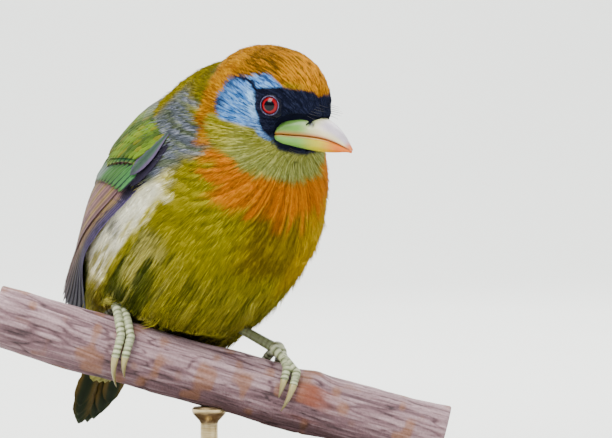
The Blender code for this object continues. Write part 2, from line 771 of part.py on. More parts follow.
# Stand: a round base with a rounded top edge, and one rod
bpy.ops.mesh.primitive_cylinder_add(vertices=48, radius=BASE_RADIUS * MM, depth=BASE_THICKNESS * MM,
                                    location=(BASE_AT[0] * MM, BASE_AT[1] * MM, BASE_THICKNESS / 2 * MM))
base = bpy.context.object
base.name = "stand_base"
base.data.materials.append(oak)
work = bmesh.new()
work.from_mesh(base.data)
rim = [e for e in work.edges if all(v.co.z > 0 for v in e.verts)]
bmesh.ops.bevel(work, geom=rim, offset=1.2 * MM, segments=2, affect="EDGES", profile=0.5)
work.to_mesh(base.data)
work.free()
rod_length = PERCH_AXIS_HEIGHT - BASE_THICKNESS - GAP
rod_middle = (PERCH_AXIS_HEIGHT + BASE_THICKNESS + GAP) / 2
bpy.ops.mesh.primitive_cylinder_add(vertices=20, radius=ROD_RADIUS * MM, depth=rod_length * MM,
                                    location=(ROD_AT * MM, 0.0, rod_middle * MM))
rod = bpy.context.object
rod.name = "stand_rod"
rod.data.materials.append(brass)
for made in (base, rod):
    for home in list(made.users_collection):
        home.objects.unlink(made)
    parts.objects.link(made)
    made.data.transform(made.matrix_world)
    made.matrix_world = Matrix.Identity(4)
rod_top = loft("rod_top", [[perch_point(place, 360 * j / 16, perch_radius(place, 360 * j / 16) + GAP)
                            for j in range(16)] for place in np.linspace(-16.0, 6.0, 12)], None, cutters)
combine(rod, [rod_top], "DIFFERENCE")

# The origin goes to the middle of the underside of the whole
corners = [made.matrix_world @ Vector(corner) for made in parts.objects for corner in made.bound_box]
lows = [min(corner[i] for corner in corners) for i in range(3)]
highs = [max(corner[i] for corner in corners) for i in range(3)]
to_origin = Matrix.Translation((-(lows[0] + highs[0]) / 2, -(lows[1] + highs[1]) / 2, -lows[2]))
for made in parts.objects:
    made.data.transform(to_origin)
    made.data.shade_smooth()
    made.data.set_sharp_from_angle(angle=math.radians(50))
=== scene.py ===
"""A red-headed barbet, a female, modelled life-size as a still display piece on a cut perch with a stand."""

import math

import bmesh
import bpy
import numpy as np
from mathutils import Matrix, Vector
from mathutils.bvhtree import BVHTree


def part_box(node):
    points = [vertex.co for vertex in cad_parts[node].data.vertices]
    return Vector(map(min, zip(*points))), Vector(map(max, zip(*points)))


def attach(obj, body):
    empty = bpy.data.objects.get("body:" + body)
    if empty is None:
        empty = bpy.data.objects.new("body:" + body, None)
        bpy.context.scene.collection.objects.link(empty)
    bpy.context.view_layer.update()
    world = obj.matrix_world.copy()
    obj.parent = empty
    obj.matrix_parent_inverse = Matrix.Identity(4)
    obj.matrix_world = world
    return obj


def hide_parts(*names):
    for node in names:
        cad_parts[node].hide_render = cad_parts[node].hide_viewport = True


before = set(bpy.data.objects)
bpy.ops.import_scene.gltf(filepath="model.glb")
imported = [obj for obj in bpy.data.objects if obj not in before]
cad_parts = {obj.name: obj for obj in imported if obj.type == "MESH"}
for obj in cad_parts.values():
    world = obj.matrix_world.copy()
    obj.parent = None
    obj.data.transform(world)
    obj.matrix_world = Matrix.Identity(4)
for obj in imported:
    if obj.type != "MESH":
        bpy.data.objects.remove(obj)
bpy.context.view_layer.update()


# Stand base
# A turned disc of dark oiled oak, its edges rounded and a fine groove cut inside the rim.
# It stands free on the table and carries the rod.

MM = 0.001
BASE_RADIUS = 48.0
BASE_THICKNESS = 5.0
BASE_AT = Vector((-7.0, 6.0, 0.0))
GROOVE_INSET = 4.0
GROOVE_WIDTH = 0.9
GROOVE_DEPTH = 0.5
EDGE_ROUNDING = 1.1
OAK_DARK = (46, 32, 24)
OAK_LIGHT = (92, 66, 46)
OAK_PORE = (34, 23, 17)

base_low, base_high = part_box("stand_base")
# From the bird's plan, whose zero is under the middle of the branch, to the frame, in millimetres
SHIFT = Vector(((base_low.x + base_high.x) / 2 / MM - BASE_AT.x,
                (base_low.y + base_high.y) / 2 / MM - BASE_AT.y, 0.0))


def paint(colour):
    """A colour given as seen, 0 to 255, as the linear values that Blender works in."""
    seen = np.array(colour, float) / 255
    return np.where(seen <= 0.04045, seen / 12.92, ((seen + 0.055) / 1.055) ** 2.4)


def shade(colour):
    """The same with an opacity of 1, for a socket."""
    return (*paint(colour), 1.0)


def node(tree, kind, inputs=None, **settings):
    """A shader node with its settings and its inputs, each a value or a socket to link."""
    made = tree.nodes.new(kind)
    for name, value in settings.items():
        setattr(made, name, value)
    for name, value in (inputs or {}).items():
        if isinstance(value, bpy.types.NodeSocket):
            tree.links.new(value, made.inputs[name])
        else:
            made.inputs[name].default_value = value
    return made


def mixed(tree, factor, first, second, blend="MIX"):
    """The colour between two colours, by a factor."""
    made = node(tree, "ShaderNodeMix", data_type="RGBA", blend_type=blend, clamp_factor=True)
    for socket, value in ((made.inputs[0], factor), (made.inputs[6], first), (made.inputs[7], second)):
        if isinstance(value, bpy.types.NodeSocket):
            tree.links.new(value, socket)
        else:
            socket.default_value = value
    return made.outputs[2]


def new_finish(name, roughness, metallic=0.0, more=None):
    """A material with its tree and its Principled shader, and more of that shader's inputs by name."""
    made = bpy.data.materials.new(name)
    made.use_nodes = True
    shader = made.node_tree.nodes["Principled BSDF"]
    for label, value in {"Roughness": roughness, "Metallic": metallic, **(more or {})}.items():
        shader.inputs[label].default_value = value
    return made, made.node_tree, shader


def new_effect(name, inputs, outputs):
    """An empty node group with named sockets, and its input and output nodes."""
    tree = bpy.data.node_groups.new(name, "ShaderNodeTree")
    for label, kind, value in inputs:
        socket = tree.interface.new_socket(label, in_out="INPUT", socket_type=kind)
        if value is not None:
            socket.default_value = value
    for label, kind in outputs:
        tree.interface.new_socket(label, in_out="OUTPUT", socket_type=kind)
    return tree, node(tree, "NodeGroupInput"), node(tree, "NodeGroupOutput")


# Mottling: soft patches of a chosen size, for any surface
mottle_effect, mottle_in, mottle_out = new_effect(
    "mottling",
    [("Vector", "NodeSocketVector", None), ("Scale", "NodeSocketFloat", 300.0),
     ("Detail", "NodeSocketFloat", 4.0), ("Low", "NodeSocketFloat", 0.35), ("High", "NodeSocketFloat", 0.65)],
    [("Mask", "NodeSocketFloat")])
mottle_noise = node(mottle_effect, "ShaderNodeTexNoise",
                    {name: mottle_in.outputs[name] for name in ("Vector", "Scale", "Detail")})
mottle_range = node(mottle_effect, "ShaderNodeMapRange",
                    {"Value": mottle_noise.outputs["Fac"], "From Min": mottle_in.outputs["Low"],
                     "From Max": mottle_in.outputs["High"]})
mottle_effect.links.new(mottle_range.outputs["Result"], mottle_out.inputs["Mask"])


def mottling(tree, scale, detail=4.0, low=0.35, high=0.65, vector=None):
    """The mottling mask in a material, on the piece's own coordinates unless others are given."""
    made = node(tree, "ShaderNodeGroup", node_tree=mottle_effect)
    if vector is None:
        vector = node(tree, "ShaderNodeTexCoord").outputs["Object"]
    tree.links.new(vector, made.inputs["Vector"])
    for label, value in (("Scale", scale), ("Detail", detail), ("Low", low), ("High", high)):
        made.inputs[label].default_value = value
    return made.outputs["Mask"]


def roughened(tree, shader, height, strength, distance):
    """A bump from a height on the shader's normal."""
    bump = node(tree, "ShaderNodeBump", {"Height": height, "Strength": strength, "Distance": distance})
    tree.links.new(bump.outputs["Normal"], shader.inputs["Normal"])


def grained(tree, turn, stretch):
    """The piece's own coordinates, turned and then stretched along one way."""
    turned = node(tree, "ShaderNodeMapping", {"Vector": node(tree, "ShaderNodeTexCoord").outputs["Object"],
                                              "Rotation": turn})
    stretched = node(tree, "ShaderNodeMapping", {"Vector": turned.outputs["Vector"], "Scale": stretch})
    return stretched.outputs["Vector"]


def fitted(piece, finish, slot, *nodes):
    """The piece's place goes into its mesh, and it takes its finish and its CAD nodes' place. The slot is not
    used.
    """
    piece.data.transform(piece.matrix_world)
    piece.matrix_world = Matrix.Identity(4)
    piece.data.materials.clear()
    piece.data.materials.append(finish)
    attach(piece, "root")
    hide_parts(*nodes)
    return piece


def only(piece):
    """The piece, selected alone and active."""
    bpy.ops.object.select_all(action="DESELECT")
    piece.select_set(True)
    bpy.context.view_layer.objects.active = piece
    return piece


def applied(piece):
    """The piece with its modifiers applied."""
    only(piece)
    for modifier in list(piece.modifiers):
        bpy.ops.object.modifier_apply(modifier=modifier.name)
    return piece


def smoothed(piece, angle=180.0):
    """Smooth shading, with edges sharper than the angle left crisp."""
    only(piece)
    if angle >= 180:
        bpy.ops.object.shade_smooth()
    else:
        bpy.ops.object.shade_smooth_by_angle(angle=math.radians(angle))
    return piece


bpy.ops.object.select_all(action="DESELECT")
bpy.ops.mesh.primitive_cylinder_add(vertices=144, radius=BASE_RADIUS * MM, depth=BASE_THICKNESS * MM,
                                    location=(BASE_AT + SHIFT + Vector((0, 0, BASE_THICKNESS / 2))) * MM)
base = bpy.context.object
base.name = "stand_disc"
bpy.ops.object.mode_set(mode="EDIT")
bpy.ops.mesh.select_mode(type="FACE")
bpy.ops.mesh.select_all(action="DESELECT")
rim = bmesh.from_edit_mesh(base.data)
for face in rim.faces:
    face.select_set(face.normal.z > 0.9)
bmesh.update_edit_mesh(base.data)
bpy.ops.mesh.inset(thickness=GROOVE_INSET * MM)
bpy.ops.mesh.inset(thickness=GROOVE_WIDTH / 2 * MM, depth=-GROOVE_DEPTH * MM)
bpy.ops.mesh.inset(thickness=GROOVE_WIDTH / 2 * MM, depth=GROOVE_DEPTH * MM)
bpy.ops.object.mode_set(mode="OBJECT")
round_edge = base.modifiers.new("round_edge", "BEVEL")
round_edge.width = EDGE_ROUNDING * MM
round_edge.segments = 4
round_edge.limit_method = "ANGLE"
round_edge.angle_limit = math.radians(60)
applied(base)

oak, tree, shader = new_finish("oiled_oak", 0.42, more={"Coat Weight": 0.15, "Coat Roughness": 0.3})
oak_grain = grained(tree, (0, 0, 0.5), (40, 900, 200))
oak_tone = mixed(tree, mottling(tree, 1.0, 6.0, 0.32, 0.68, oak_grain), shade(OAK_DARK), shade(OAK_LIGHT))
oak_pore = mottling(tree, 2.2, 3.0, 0.56, 0.62, oak_grain)
tree.links.new(mixed(tree, oak_pore, oak_tone, shade(OAK_PORE)), shader.inputs["Base Color"])
roughened(tree, shader, oak_pore, 0.25, 0.0002)
smoothed(fitted(base, oak, "stand_wood", "stand_base"), 40)


# Stand rod
# A brushed brass rod let into the base, with a turned collar at its foot and a wider head that
# the branch sits on.

ROD_AT = -6.0
PERCH_AXIS_HEIGHT = 29.2
PERCH_RADIUS = 8.8
# Height above the base and radius of each turned step of the rod, from its foot up
ROD_PROFILE = ((-1.5, 2.5), (0.02, 2.5), (0.02, 4.6), (1.0, 4.9), (1.7, 4.6), (2.1, 3.5), (2.6, 2.9),
               (3.4, 2.5), (12.2, 2.5), (13.0, 2.8), (13.8, 3.6), (14.9, 4.6), (15.6, 4.9), (16.4, 4.9),
               (17.0, 4.4), (17.4, 0.0))
BRASS = (176, 152, 104)
BRASS_WORN = (206, 190, 150)
LATHE_STEPS = 48


def turned_piece(name, profile, centre, way, steps=LATHE_STEPS):
    """A lathe form round an axis: each (height, radius) of its profile swept round, its ends closed."""
    turn = Vector(way).to_track_quat("Z", "Y").to_matrix()
    work = bmesh.new()
    rings = []
    for height, radius in profile:
        ring = []
        for i in range(steps if radius else 1):
            a = 2 * math.pi * i / steps
            there = Vector(centre) + turn @ Vector((radius * math.cos(a), radius * math.sin(a), height))
            ring.append(work.verts.new((there + SHIFT) * MM))
        rings.append(ring * (steps // len(ring)))
    for low, high in zip(rings, rings[1:]):
        for i in range(steps):
            corners = [low[i], low[(i + 1) % steps], high[(i + 1) % steps], high[i]]
            corners = [c for j, c in enumerate(corners) if c not in corners[:j]]
            if len(corners) > 2:
                work.faces.new(corners)
    for ring in (rings[0], rings[-1]):
        if ring[0] is not ring[1]:
            work.faces.new(ring)
    bmesh.ops.recalc_face_normals(work, faces=work.faces)
    if work.calc_volume(signed=True) < 0:
        bmesh.ops.reverse_faces(work, faces=work.faces)
    mesh = bpy.data.meshes.new(name)
    work.to_mesh(mesh)
    work.free()
    made = bpy.data.objects.new(name, mesh)
    bpy.context.collection.objects.link(made)
    return made


rod = turned_piece("stand_pillar", ROD_PROFILE, (ROD_AT, 0.0, BASE_THICKNESS), (0, 0, 1))
brass, tree, shader = new_finish("brushed_brass", 0.34, 1.0)
brushed = grained(tree, (0, 0, 0), (300, 300, 6000))
worn = mottling(tree, 1.0, 3.0, 0.35, 0.7, brushed)
tree.links.new(mixed(tree, worn, shade(BRASS), shade(BRASS_WORN)), shader.inputs["Base Color"])
roughened(tree, shader, worn, 0.1, 0.00005)
smoothed(fitted(rod, brass, "stand_metal", "stand_rod"), 35)


# Perch
# A short length of old branch, sawn square at both ends, with fibrous mauve-brown bark and one
# reddish swelling to the right. It rests on the rod's head.

PERCH_SLOPE = math.radians(-15.2)
PERCH_BEND = 0.00016
PERCH_LEFT = -70.0
PERCH_RIGHT = 63.0
KNOT_AT = 23.5
KNOT_SIZE = 1.3
BARK_AROUND = 150
BARK_ALONG = 330
BARK_DARK = (52, 34, 38)
BARK_MID = (104, 76, 82)
BARK_PALE = (164, 138, 142)
BARK_RUST = (128, 84, 52)
KNOT_RED = (120, 58, 34)
WOOD_PALE = (190, 160, 118)
WOOD_DARK = (146, 112, 76)

perch_along = np.array((math.cos(PERCH_SLOPE), 0.0, math.sin(PERCH_SLOPE)))
perch_up = np.array((-math.sin(PERCH_SLOPE), 0.0, math.cos(PERCH_SLOPE)))
perch_front = np.array((0.0, -1.0, 0.0))
perch_middle = np.array((0.0, 0.0, PERCH_AXIS_HEIGHT))


def perch_point(place, angle, radius):
    """Points round the branch, for arrays too: angle 0 is its top and 90 its front, in degrees."""
    place, turn, radius = (part[..., None] for part in np.broadcast_arrays(
        np.asarray(place, float), np.radians(angle), np.asarray(radius, float)))
    axis = perch_middle + place * perch_along + PERCH_BEND * place**2 * perch_up
    return axis + (np.cos(turn) * perch_up + np.sin(turn) * perch_front) * radius


def perch_radius(place, angle):
    """The branch's radius there, with slow swells and the knot."""
    place, turn = np.broadcast_arrays(np.asarray(place, float), np.radians(angle))
    swell = 0.22 * np.sin(place / 9.0 + 2 * turn) + 0.18 * np.sin(place / 5.3 - 3 * turn + 1.0)
    wide = np.exp(-((place - KNOT_AT) / 3.5) ** 2) * np.maximum(0.0, np.cos(turn - 0.6)) ** 4
    return PERCH_RADIUS + swell + KNOT_SIZE * wide


def ripple(points, size, seed=0):
    """Smooth random values from 0 to 1 at points, with swells of about that size."""
    at = np.asarray(points, float) / np.asarray(size, float) + seed * 17.13
    cell = np.floor(at).astype(np.int64)
    part = at - cell
    part = part * part * (3 - 2 * part)
    total = np.zeros(at.shape[:-1])
    for corner in np.ndindex(2, 2, 2):
        here = cell + corner
        mixed_up = (here[..., 0] * 73856093) ^ (here[..., 1] * 19349663) ^ (here[..., 2] * 83492791)
        mixed_up = ((mixed_up ^ (mixed_up >> 13)) * 1274126177) & 0xFFFFFFFF
        value = ((mixed_up ^ (mixed_up >> 16)) & 0xFFFF) / 65535
        share = np.where(np.array(corner, bool), part, 1 - part).prod(-1)
        total += share * value
    return total


def piece_from(name, points, faces, colours=None, uvs=None, uv_name="OFBake"):
    """A mesh object from points in millimetres, faces of one size, a colour a point and a UV a corner."""
    points, faces = np.asarray(points, float), np.asarray(faces, np.int32)
    first = points[faces]
    fans = sum(np.einsum("ij,ij->i", first[:, 0], np.cross(first[:, k], first[:, k + 1])).sum()
               for k in range(1, faces.shape[1] - 1))
    if fans < 0:
        faces = faces[:, ::-1]
        uvs = None if uvs is None else uvs[:, ::-1]
    count, corners = faces.shape
    mesh = bpy.data.meshes.new(name)
    mesh.vertices.add(len(points))
    mesh.vertices.foreach_set("co", ((points + np.array(SHIFT)) * MM).astype(np.float32).ravel())
    mesh.loops.add(count * corners)
    mesh.loops.foreach_set("vertex_index", faces.ravel())
    mesh.polygons.add(count)
    mesh.polygons.foreach_set("loop_start", np.arange(0, count * corners, corners, dtype=np.int32))
    mesh.update(calc_edges=True)
    mesh.polygons.foreach_set("use_smooth", np.ones(count, bool))
    if uvs is not None:
        layer = mesh.uv_layers.new(name=uv_name)
        layer.data.foreach_set("uv", np.asarray(uvs, np.float32).ravel())
    if colours is not None:
        layer = mesh.color_attributes.new("colouring", "FLOAT_COLOR", "POINT")
        flat = np.ones((len(points), 4), np.float32)
        flat[:, :3] = colours
        layer.data.foreach_set("color", flat.ravel())
    mesh.validate()
    made = bpy.data.objects.new(name, mesh)
    bpy.context.collection.objects.link(made)
    return made


def grid_faces(rows, columns, start=0):
    """Quads of a closed tube: rows of points, each row a ring."""
    i, j = np.meshgrid(np.arange(rows - 1), np.arange(columns), indexing="ij")
    k = (j + 1) % columns
    corners = [i * columns + j, i * columns + k, (i + 1) * columns + k, (i + 1) * columns + j]
    return np.stack(corners, -1).reshape(-1, 4) + start


def blended(amount, first, second):
    """Between two colours, by an amount for each point."""
    amount = np.clip(np.asarray(amount, float), 0, 1)[..., None]
    return np.asarray(first) * (1 - amount) + np.asarray(second) * amount


def step(low, high, value):
    """0 below the low value, 1 above the high one, smooth between."""
    x = np.clip((np.asarray(value, float) - low) / (high - low), 0, 1)
    return x * x * (3 - 2 * x)


bark_place = np.linspace(PERCH_LEFT, PERCH_RIGHT, BARK_ALONG)
# Each sawn end closes over four rings that shrink to its pith
end_shrink = np.array((0.0, 0.35, 0.7, 0.97))
bark_rows = np.concatenate([np.full(4, PERCH_LEFT), bark_place[1:-1], np.full(4, PERCH_RIGHT)])
bark_share = np.concatenate([end_shrink, np.ones(BARK_ALONG - 2), end_shrink[::-1]])
bark_turn = np.linspace(0, 360, BARK_AROUND, endpoint=False)
rows, turns = np.meshgrid(bark_rows, bark_turn, indexing="ij")
share = np.repeat(bark_share[:, None], BARK_AROUND, 1)
flat_bark = np.stack([rows, 7.0 * np.cos(np.radians(turns)), 7.0 * np.sin(np.radians(turns))], -1)
twist = flat_bark + np.stack([0 * rows, 0.045 * rows, -0.03 * rows], -1)
fibre = ripple(twist, (16.0, 0.75, 0.75), 1) * 0.55 + ripple(twist, (7.0, 0.42, 0.42), 2) * 0.45
strips = ripple(twist, (26.0, 2.4, 2.4), 3)
checks = np.clip(1 - np.abs(ripple(twist, (12.0, 1.3, 1.3), 4) - 0.5) * 14, 0, 1)
crust = ripple(flat_bark, 3.2, 5)
relief = 0.42 * (fibre - 0.5) + 0.5 * (strips - 0.5) - 0.32 * checks + 0.18 * (crust - 0.5)
relief *= np.clip((share - 0.9) * 10, 0, 1)
bark_points = perch_point(rows, turns, (perch_radius(rows, turns) + relief) * share)
bark_points += (0.12 * (ripple(flat_bark, 1.1, 6) - 0.5) * (share < 0.96))[..., None] * perch_along
# The bark is painted lighter and paler toward the branch's top: painted light falling from above.
top_lit = 0.5 + 0.5 * np.cos(np.radians(turns) - 0.2)
threads = ripple(twist, (9.0, 0.3, 0.3), 7)
tone = 0.1 + 0.4 * fibre + 0.6 * threads + 0.4 * (strips - 0.5) - 0.4 * checks + 0.28 * (top_lit - 0.5)
tone = np.clip(0.48 + 1.2 * (tone - 0.5), 0, 1)
bark_colour = blended(tone * 2, paint(BARK_DARK), paint(BARK_MID))
bark_colour = blended((tone - 0.5) * 1.7 + 0.35 * (top_lit - 0.6), bark_colour, paint(BARK_PALE))
bark_colour = blended(np.clip((crust - 0.6) * 3, 0, 0.6), bark_colour, paint(BARK_RUST))
knot = np.exp(-((rows - KNOT_AT) / 5.0) ** 2) * step(0.1, 0.7, np.cos(np.radians(turns) - 0.9))
bark_colour = blended(knot * step(0.35, 0.6, strips) * 0.9, bark_colour, paint(KNOT_RED))
rings_seen = 0.5 + 0.5 * np.sin(share * 46 + 3 * ripple(flat_bark, 6.0, 8))
sawn = blended(rings_seen * 0.8, paint(WOOD_PALE), paint(WOOD_DARK))
bark_colour = blended((share < 0.96) * 1.0, bark_colour, sawn)
perch = piece_from("branch", bark_points.reshape(-1, 3), grid_faces(len(bark_rows), BARK_AROUND),
                   bark_colour.reshape(-1, 3))
only(perch)
bpy.ops.object.mode_set(mode="EDIT")
bpy.ops.mesh.select_all(action="SELECT")
bpy.ops.mesh.remove_doubles(threshold=2e-5)
bpy.ops.object.mode_set(mode="OBJECT")


def coloured_finish(name, roughness, vary=0.16, scale=900.0, bump=0.15, deep=0.0001, more=None):
    """A material that takes the piece's own colouring, a little uneven in tone, with a fine bump."""
    made, tree, shader = new_finish(name, roughness, more=more)
    colouring = node(tree, "ShaderNodeAttribute", attribute_name="colouring").outputs["Color"]
    uneven_tone = mottling(tree, scale, 5.0, 0.3, 0.7)
    darker = mixed(tree, 1.0, colouring, (1 - vary,) * 3 + (1.0,), "MULTIPLY")
    tree.links.new(mixed(tree, uneven_tone, darker, colouring), shader.inputs["Base Color"])
    roughened(tree, shader, uneven_tone, bump, deep)
    return made


bark = coloured_finish("fibrous_bark", 0.86, 0.3, 1400.0, 0.5, 0.00025)
fitted(perch, bark, "bark", "perch_branch")


# Feet, claws and shanks
# Two toes forward and two back round the branch, each wrapped in ringed scutes of grey-green
# horn, with curved olive claws. The shanks rise into the belly feathers.

GAP = 0.3
FOOT_RIGHT_AT = -36.2
FOOT_LEFT_AT = 10.5
JOINT_HEIGHT = 3.4
JOINT_RADIUS = 2.3
TOE_RADIUS = 1.35
# Each toe: how far its end lies along the perch, its end's angle, the same for its claw, and the claw's lift
TOES_RIGHT = ((2.9, 99.0, 5.4, 146.0, 2.2), (5.6, 95.0, 7.0, 128.0, 0.8),
              (-3.4, -72.0, -3.6, -106.0, 0.6), (1.6, -90.0, 2.0, -126.0, 0.6))
TOES_LEFT = ((7.1, 66.0, 5.6, 112.0, 1.2), (4.2, 62.0, 4.0, 92.0, 0.6),
             (-2.8, -70.0, -3.4, -104.0, 0.6), (1.8, -86.0, 1.6, -122.0, 0.6))
ACROSS = (-0.9, 1.4, -0.7, 1.0)
SHANK_TOP_RIGHT = (-27.0, 6.0, 60.0)
SHANK_TOP_LEFT = (-5.0, 6.0, 48.5)
SCUTE_LENGTH = 1.4
SCUTE_CREAM_HIGHLIGHT = (172, 176, 142)
SCUTE_MID = (108, 116, 80)
SCUTE_GROOVE = (62, 60, 26)
SHANK_SHADE = (92, 92, 58)
CLAW_BASE = (160, 148, 96)
CLAW_TIP = (96, 86, 48)


def tube_points(centres, radii, sides, guide=(0.3, 0.9, 0.2), flatten=1.0):
    """Rings of points round a line of centres. A radius may be one value a ring, or one a point."""
    centres = np.asarray(centres, float)
    ahead = np.gradient(centres, axis=0)
    ahead /= np.linalg.norm(ahead, axis=1)[:, None]
    across = np.cross(ahead, guide)
    across /= np.linalg.norm(across, axis=1)[:, None]
    other = np.cross(ahead, across)
    turn = 2 * np.pi * np.arange(sides) / sides
    radii = np.asarray(radii, float)
    radii = radii[:, None] if radii.ndim == 1 else radii
    turn = turn[None, :, None]
    way = across[:, None] * np.cos(turn) + other[:, None] * np.sin(turn) * flatten
    return centres[:, None] + way * (radii * np.ones(sides))[..., None]


def closed_tube(rings):
    """The rings with one more at each end, shrunk to nearly nothing, so that the tube is closed."""
    first = rings[:1].mean(1, keepdims=True) + (rings[:1] - rings[:1].mean(1, keepdims=True)) * 0.02
    last = rings[-1:].mean(1, keepdims=True) + (rings[-1:] - rings[-1:].mean(1, keepdims=True)) * 0.02
    return np.concatenate([first, rings, last])


def several(name, tubes, colours):
    """One object from closed tubes, each with its rings and its points' colours."""
    points, faces, tones, start = [], [], [], 0
    for rings, tint in zip(tubes, colours):
        rows, sides = rings.shape[:2]
        points.append(rings.reshape(-1, 3))
        faces.append(grid_faces(rows, sides, start))
        faces.append(end_fans(rows, sides, start))
        tones.append(np.broadcast_to(tint, (rows, sides, 3)).reshape(-1, 3))
        start += rows * sides
    return piece_from(name, np.concatenate(points), np.concatenate(faces), np.concatenate(tones))


def end_fans(rows, sides, start):
    """Quads that close both ends of a tube whose rings have an even count."""
    made = []
    for ring, way in ((0, 1), (rows - 1, -1)):
        first = start + ring * sides
        made += [(first, first + k + 2, first + k + 1, first + k)[::way] for k in range(1, sides - 2, 2)]
    return np.array(made, np.int64)


def scuted(length, radii, sides, seed):
    """Radii of a tube with rings of plates and a seam, and its tones, with a row more at each end."""
    steps = len(radii)
    run = np.linspace(0, length, steps)
    phase = run / SCUTE_LENGTH
    turn = np.arange(sides) / sides * 2 * np.pi
    plate = np.abs(np.sin(np.pi * (phase[:, None] + 0.12 * np.cos(turn) + 0.1 * seed))) ** 0.3
    seam = 1 - 0.6 * np.clip(1 - np.abs(np.sin(turn + 0.6 * seed)) * 6, 0, 1)
    height = 0.95 + 0.065 * plate * seam
    # The tones are palest on each plate's bulge: partly the plates' own cream, partly a painted highlight.
    tone = np.clip(plate * 1.2 - 0.3 + 0.2 * np.sin(5 * phase[:, None] + seed), 0, 1) * (0.35 + 0.65 * seam)
    return np.asarray(radii)[:, None] * height, np.pad(tone, ((1, 1), (0, 0)), "edge")


def toe_line(place, number, toe):
    """The centre line and radii of one toe, and of its claw."""
    shift, end, claw_shift, claw_end, claw_lift = toe
    start = math.copysign(7.0, end)
    across = ACROSS[number - 1]
    x = np.linspace(0, 1, 46)
    angle = start + (end - start) * x
    there = place + across + (shift - across) * np.minimum(1.0, 1.7 * x)
    radius = (TOE_RADIUS - 0.25 * x) * (1.0 + 0.04 * np.cos(2 * math.pi * x * 3))
    arch = (JOINT_HEIGHT - TOE_RADIUS - GAP) * (1 - x) ** 3
    centres = perch_point(there, angle, perch_radius(there, angle) + GAP + radius + arch)
    claw_place = place + claw_shift
    tip = perch_point(claw_place, claw_end, perch_radius(claw_place, claw_end) + GAP + 0.2 + claw_lift)
    ahead = centres[-1] - centres[-2]
    ahead /= np.linalg.norm(ahead)
    begin = centres[-1] - ahead * 0.5
    middle = begin + ahead * (np.linalg.norm(tip - begin) * 0.5)
    y = np.linspace(0, 1, 18)[:, None]
    claw = begin * (1 - y) ** 2 + middle * (2 * y * (1 - y)) + tip * y * y
    claw_radius = (1.02 * (1 - y[:, 0]) ** 0.85 + 0.10) * (1 - 0.25 * (y[:, 0] < 0.03))
    return centres, radius, claw, claw_radius


claw_finish = coloured_finish("claw_horn", 0.32, 0.2, 700.0, 0.08, 0.00005)
scale_finish = coloured_finish("leg_scutes", 0.5, 0.18, 2600.0, 0.3, 0.00008, {"Specular IOR Level": 0.45})

for side, place, toes, top in (("right", FOOT_RIGHT_AT, TOES_RIGHT, SHANK_TOP_RIGHT),
                               ("left", FOOT_LEFT_AT, TOES_LEFT, SHANK_TOP_LEFT)):
    joint = perch_point(place, 0.0, perch_radius(place, 0.0) + JOINT_HEIGHT)
    tubes, tints = [], []
    for number, toe in enumerate(toes, 1):
        centres, radius, claw, claw_radius = toe_line(place, number, toe)
        length = np.linalg.norm(np.diff(centres, axis=0), axis=1).sum()
        fine = np.linspace(0, 1, 92)
        knots = np.linspace(0, 1, len(centres))
        centres = np.stack([np.interp(fine, knots, centres[:, k]) for k in range(3)], -1)
        radii, tone = scuted(length, np.interp(fine, knots, radius), 14, number)
        radii[-3:] *= np.array((0.95, 0.8, 0.5))[:, None]
        rings = closed_tube(tube_points(centres, radii, 14))
        # Dark grooves, mid plates and pale bulges; the pale is partly a painted highlight on each plate.
        tint = blended(tone * 2, paint(SCUTE_GROOVE), paint(SCUTE_MID))
        tubes.append(rings)
        tints.append(blended(tone * 2 - 1, tint, paint(SCUTE_CREAM_HIGHLIGHT)))
        claw_rings = closed_tube(tube_points(claw, claw_radius, 12, flatten=0.8))
        x = np.linspace(0, 1, len(claw_rings))
        claw_tint = np.broadcast_to(blended(x, paint(CLAW_BASE), paint(CLAW_TIP))[:, None], (len(x), 12, 3))
        piece = several(f"claw_{side}_{number}_horn", [claw_rings], [claw_tint])
        fitted(piece, claw_finish, "claw", f"claw_{side}_{number}")
    ball_rise = np.linspace(-0.98, 0.98, 16)
    ball_centres = joint + ball_rise[:, None] * np.array((0, 0, JOINT_RADIUS))
    ball_radii, tone = scuted(4.0, JOINT_RADIUS * np.sqrt(1 - ball_rise**2) + 0.03, 18, 5)
    tubes.append(closed_tube(tube_points(ball_centres, ball_radii, 18)))
    # The ball's plates are also palest on their bulges, partly a painted highlight.
    tints.append(blended(tone, paint(SCUTE_GROOVE), paint(SCUTE_CREAM_HIGHLIGHT)))
    fitted(several(f"toes_{side}", tubes, tints), scale_finish, "leg_skin", f"foot_{side}")
    way = (np.array(top) - joint) / np.linalg.norm(np.array(top) - joint)
    rise = np.linspace(0.6, np.linalg.norm(np.array(top) - joint) + 1.0, 60)
    thick = np.interp(rise / rise[-1], (0, 0.15, 0.4, 0.8, 1), (1.7, 1.5, 1.4, 1.4, 1.7))
    radii, tone = scuted(rise[-1], thick, 16, 2)
    rings = closed_tube(tube_points(joint + rise[:, None] * way, radii, 16))
    high = np.pad(rise / rise[-1], 1, "edge")[:, None]
    tint = blended(tone, paint(SCUTE_GROOVE), paint(SCUTE_MID))
    # The shank is painted darker toward its top: painted shade under the belly feathers.
    tint = blended(np.clip(high * 1.2, 0, 0.8) * np.ones_like(tone), tint, paint(SHANK_SHADE))
    fitted(several(f"shank_{side}", [rings], [tint]), scale_finish, "leg_skin", f"tarsus_{side}")


# Skin
# One closed body and head under the feathers, taken from the solids and let in by the depth of
# the coat, painted with the coat's own markings at half their brightness, as painted shade that
# shows between the feathers. Places on the head are f forward, side and h up in the head's frame;
# on the body they are t to the neck, q to the belly and s to the side.

HEAD_AT = np.array((14.6, -20.0, 109.7))
HEAD_YAW = math.radians(-35.0)
HEAD_PITCH = math.radians(18.0)
BODY_AT = np.array((-8.9, 8.0, 0.0))
BODY_YAW = math.radians(-50.0)
BODY_RISE = 76.0
EYE_AT = (4.7, 10.2, 0.5)
EYE_FACES = (0.26, 0.96, 0.03)
EYE_RADIUS = 3.5
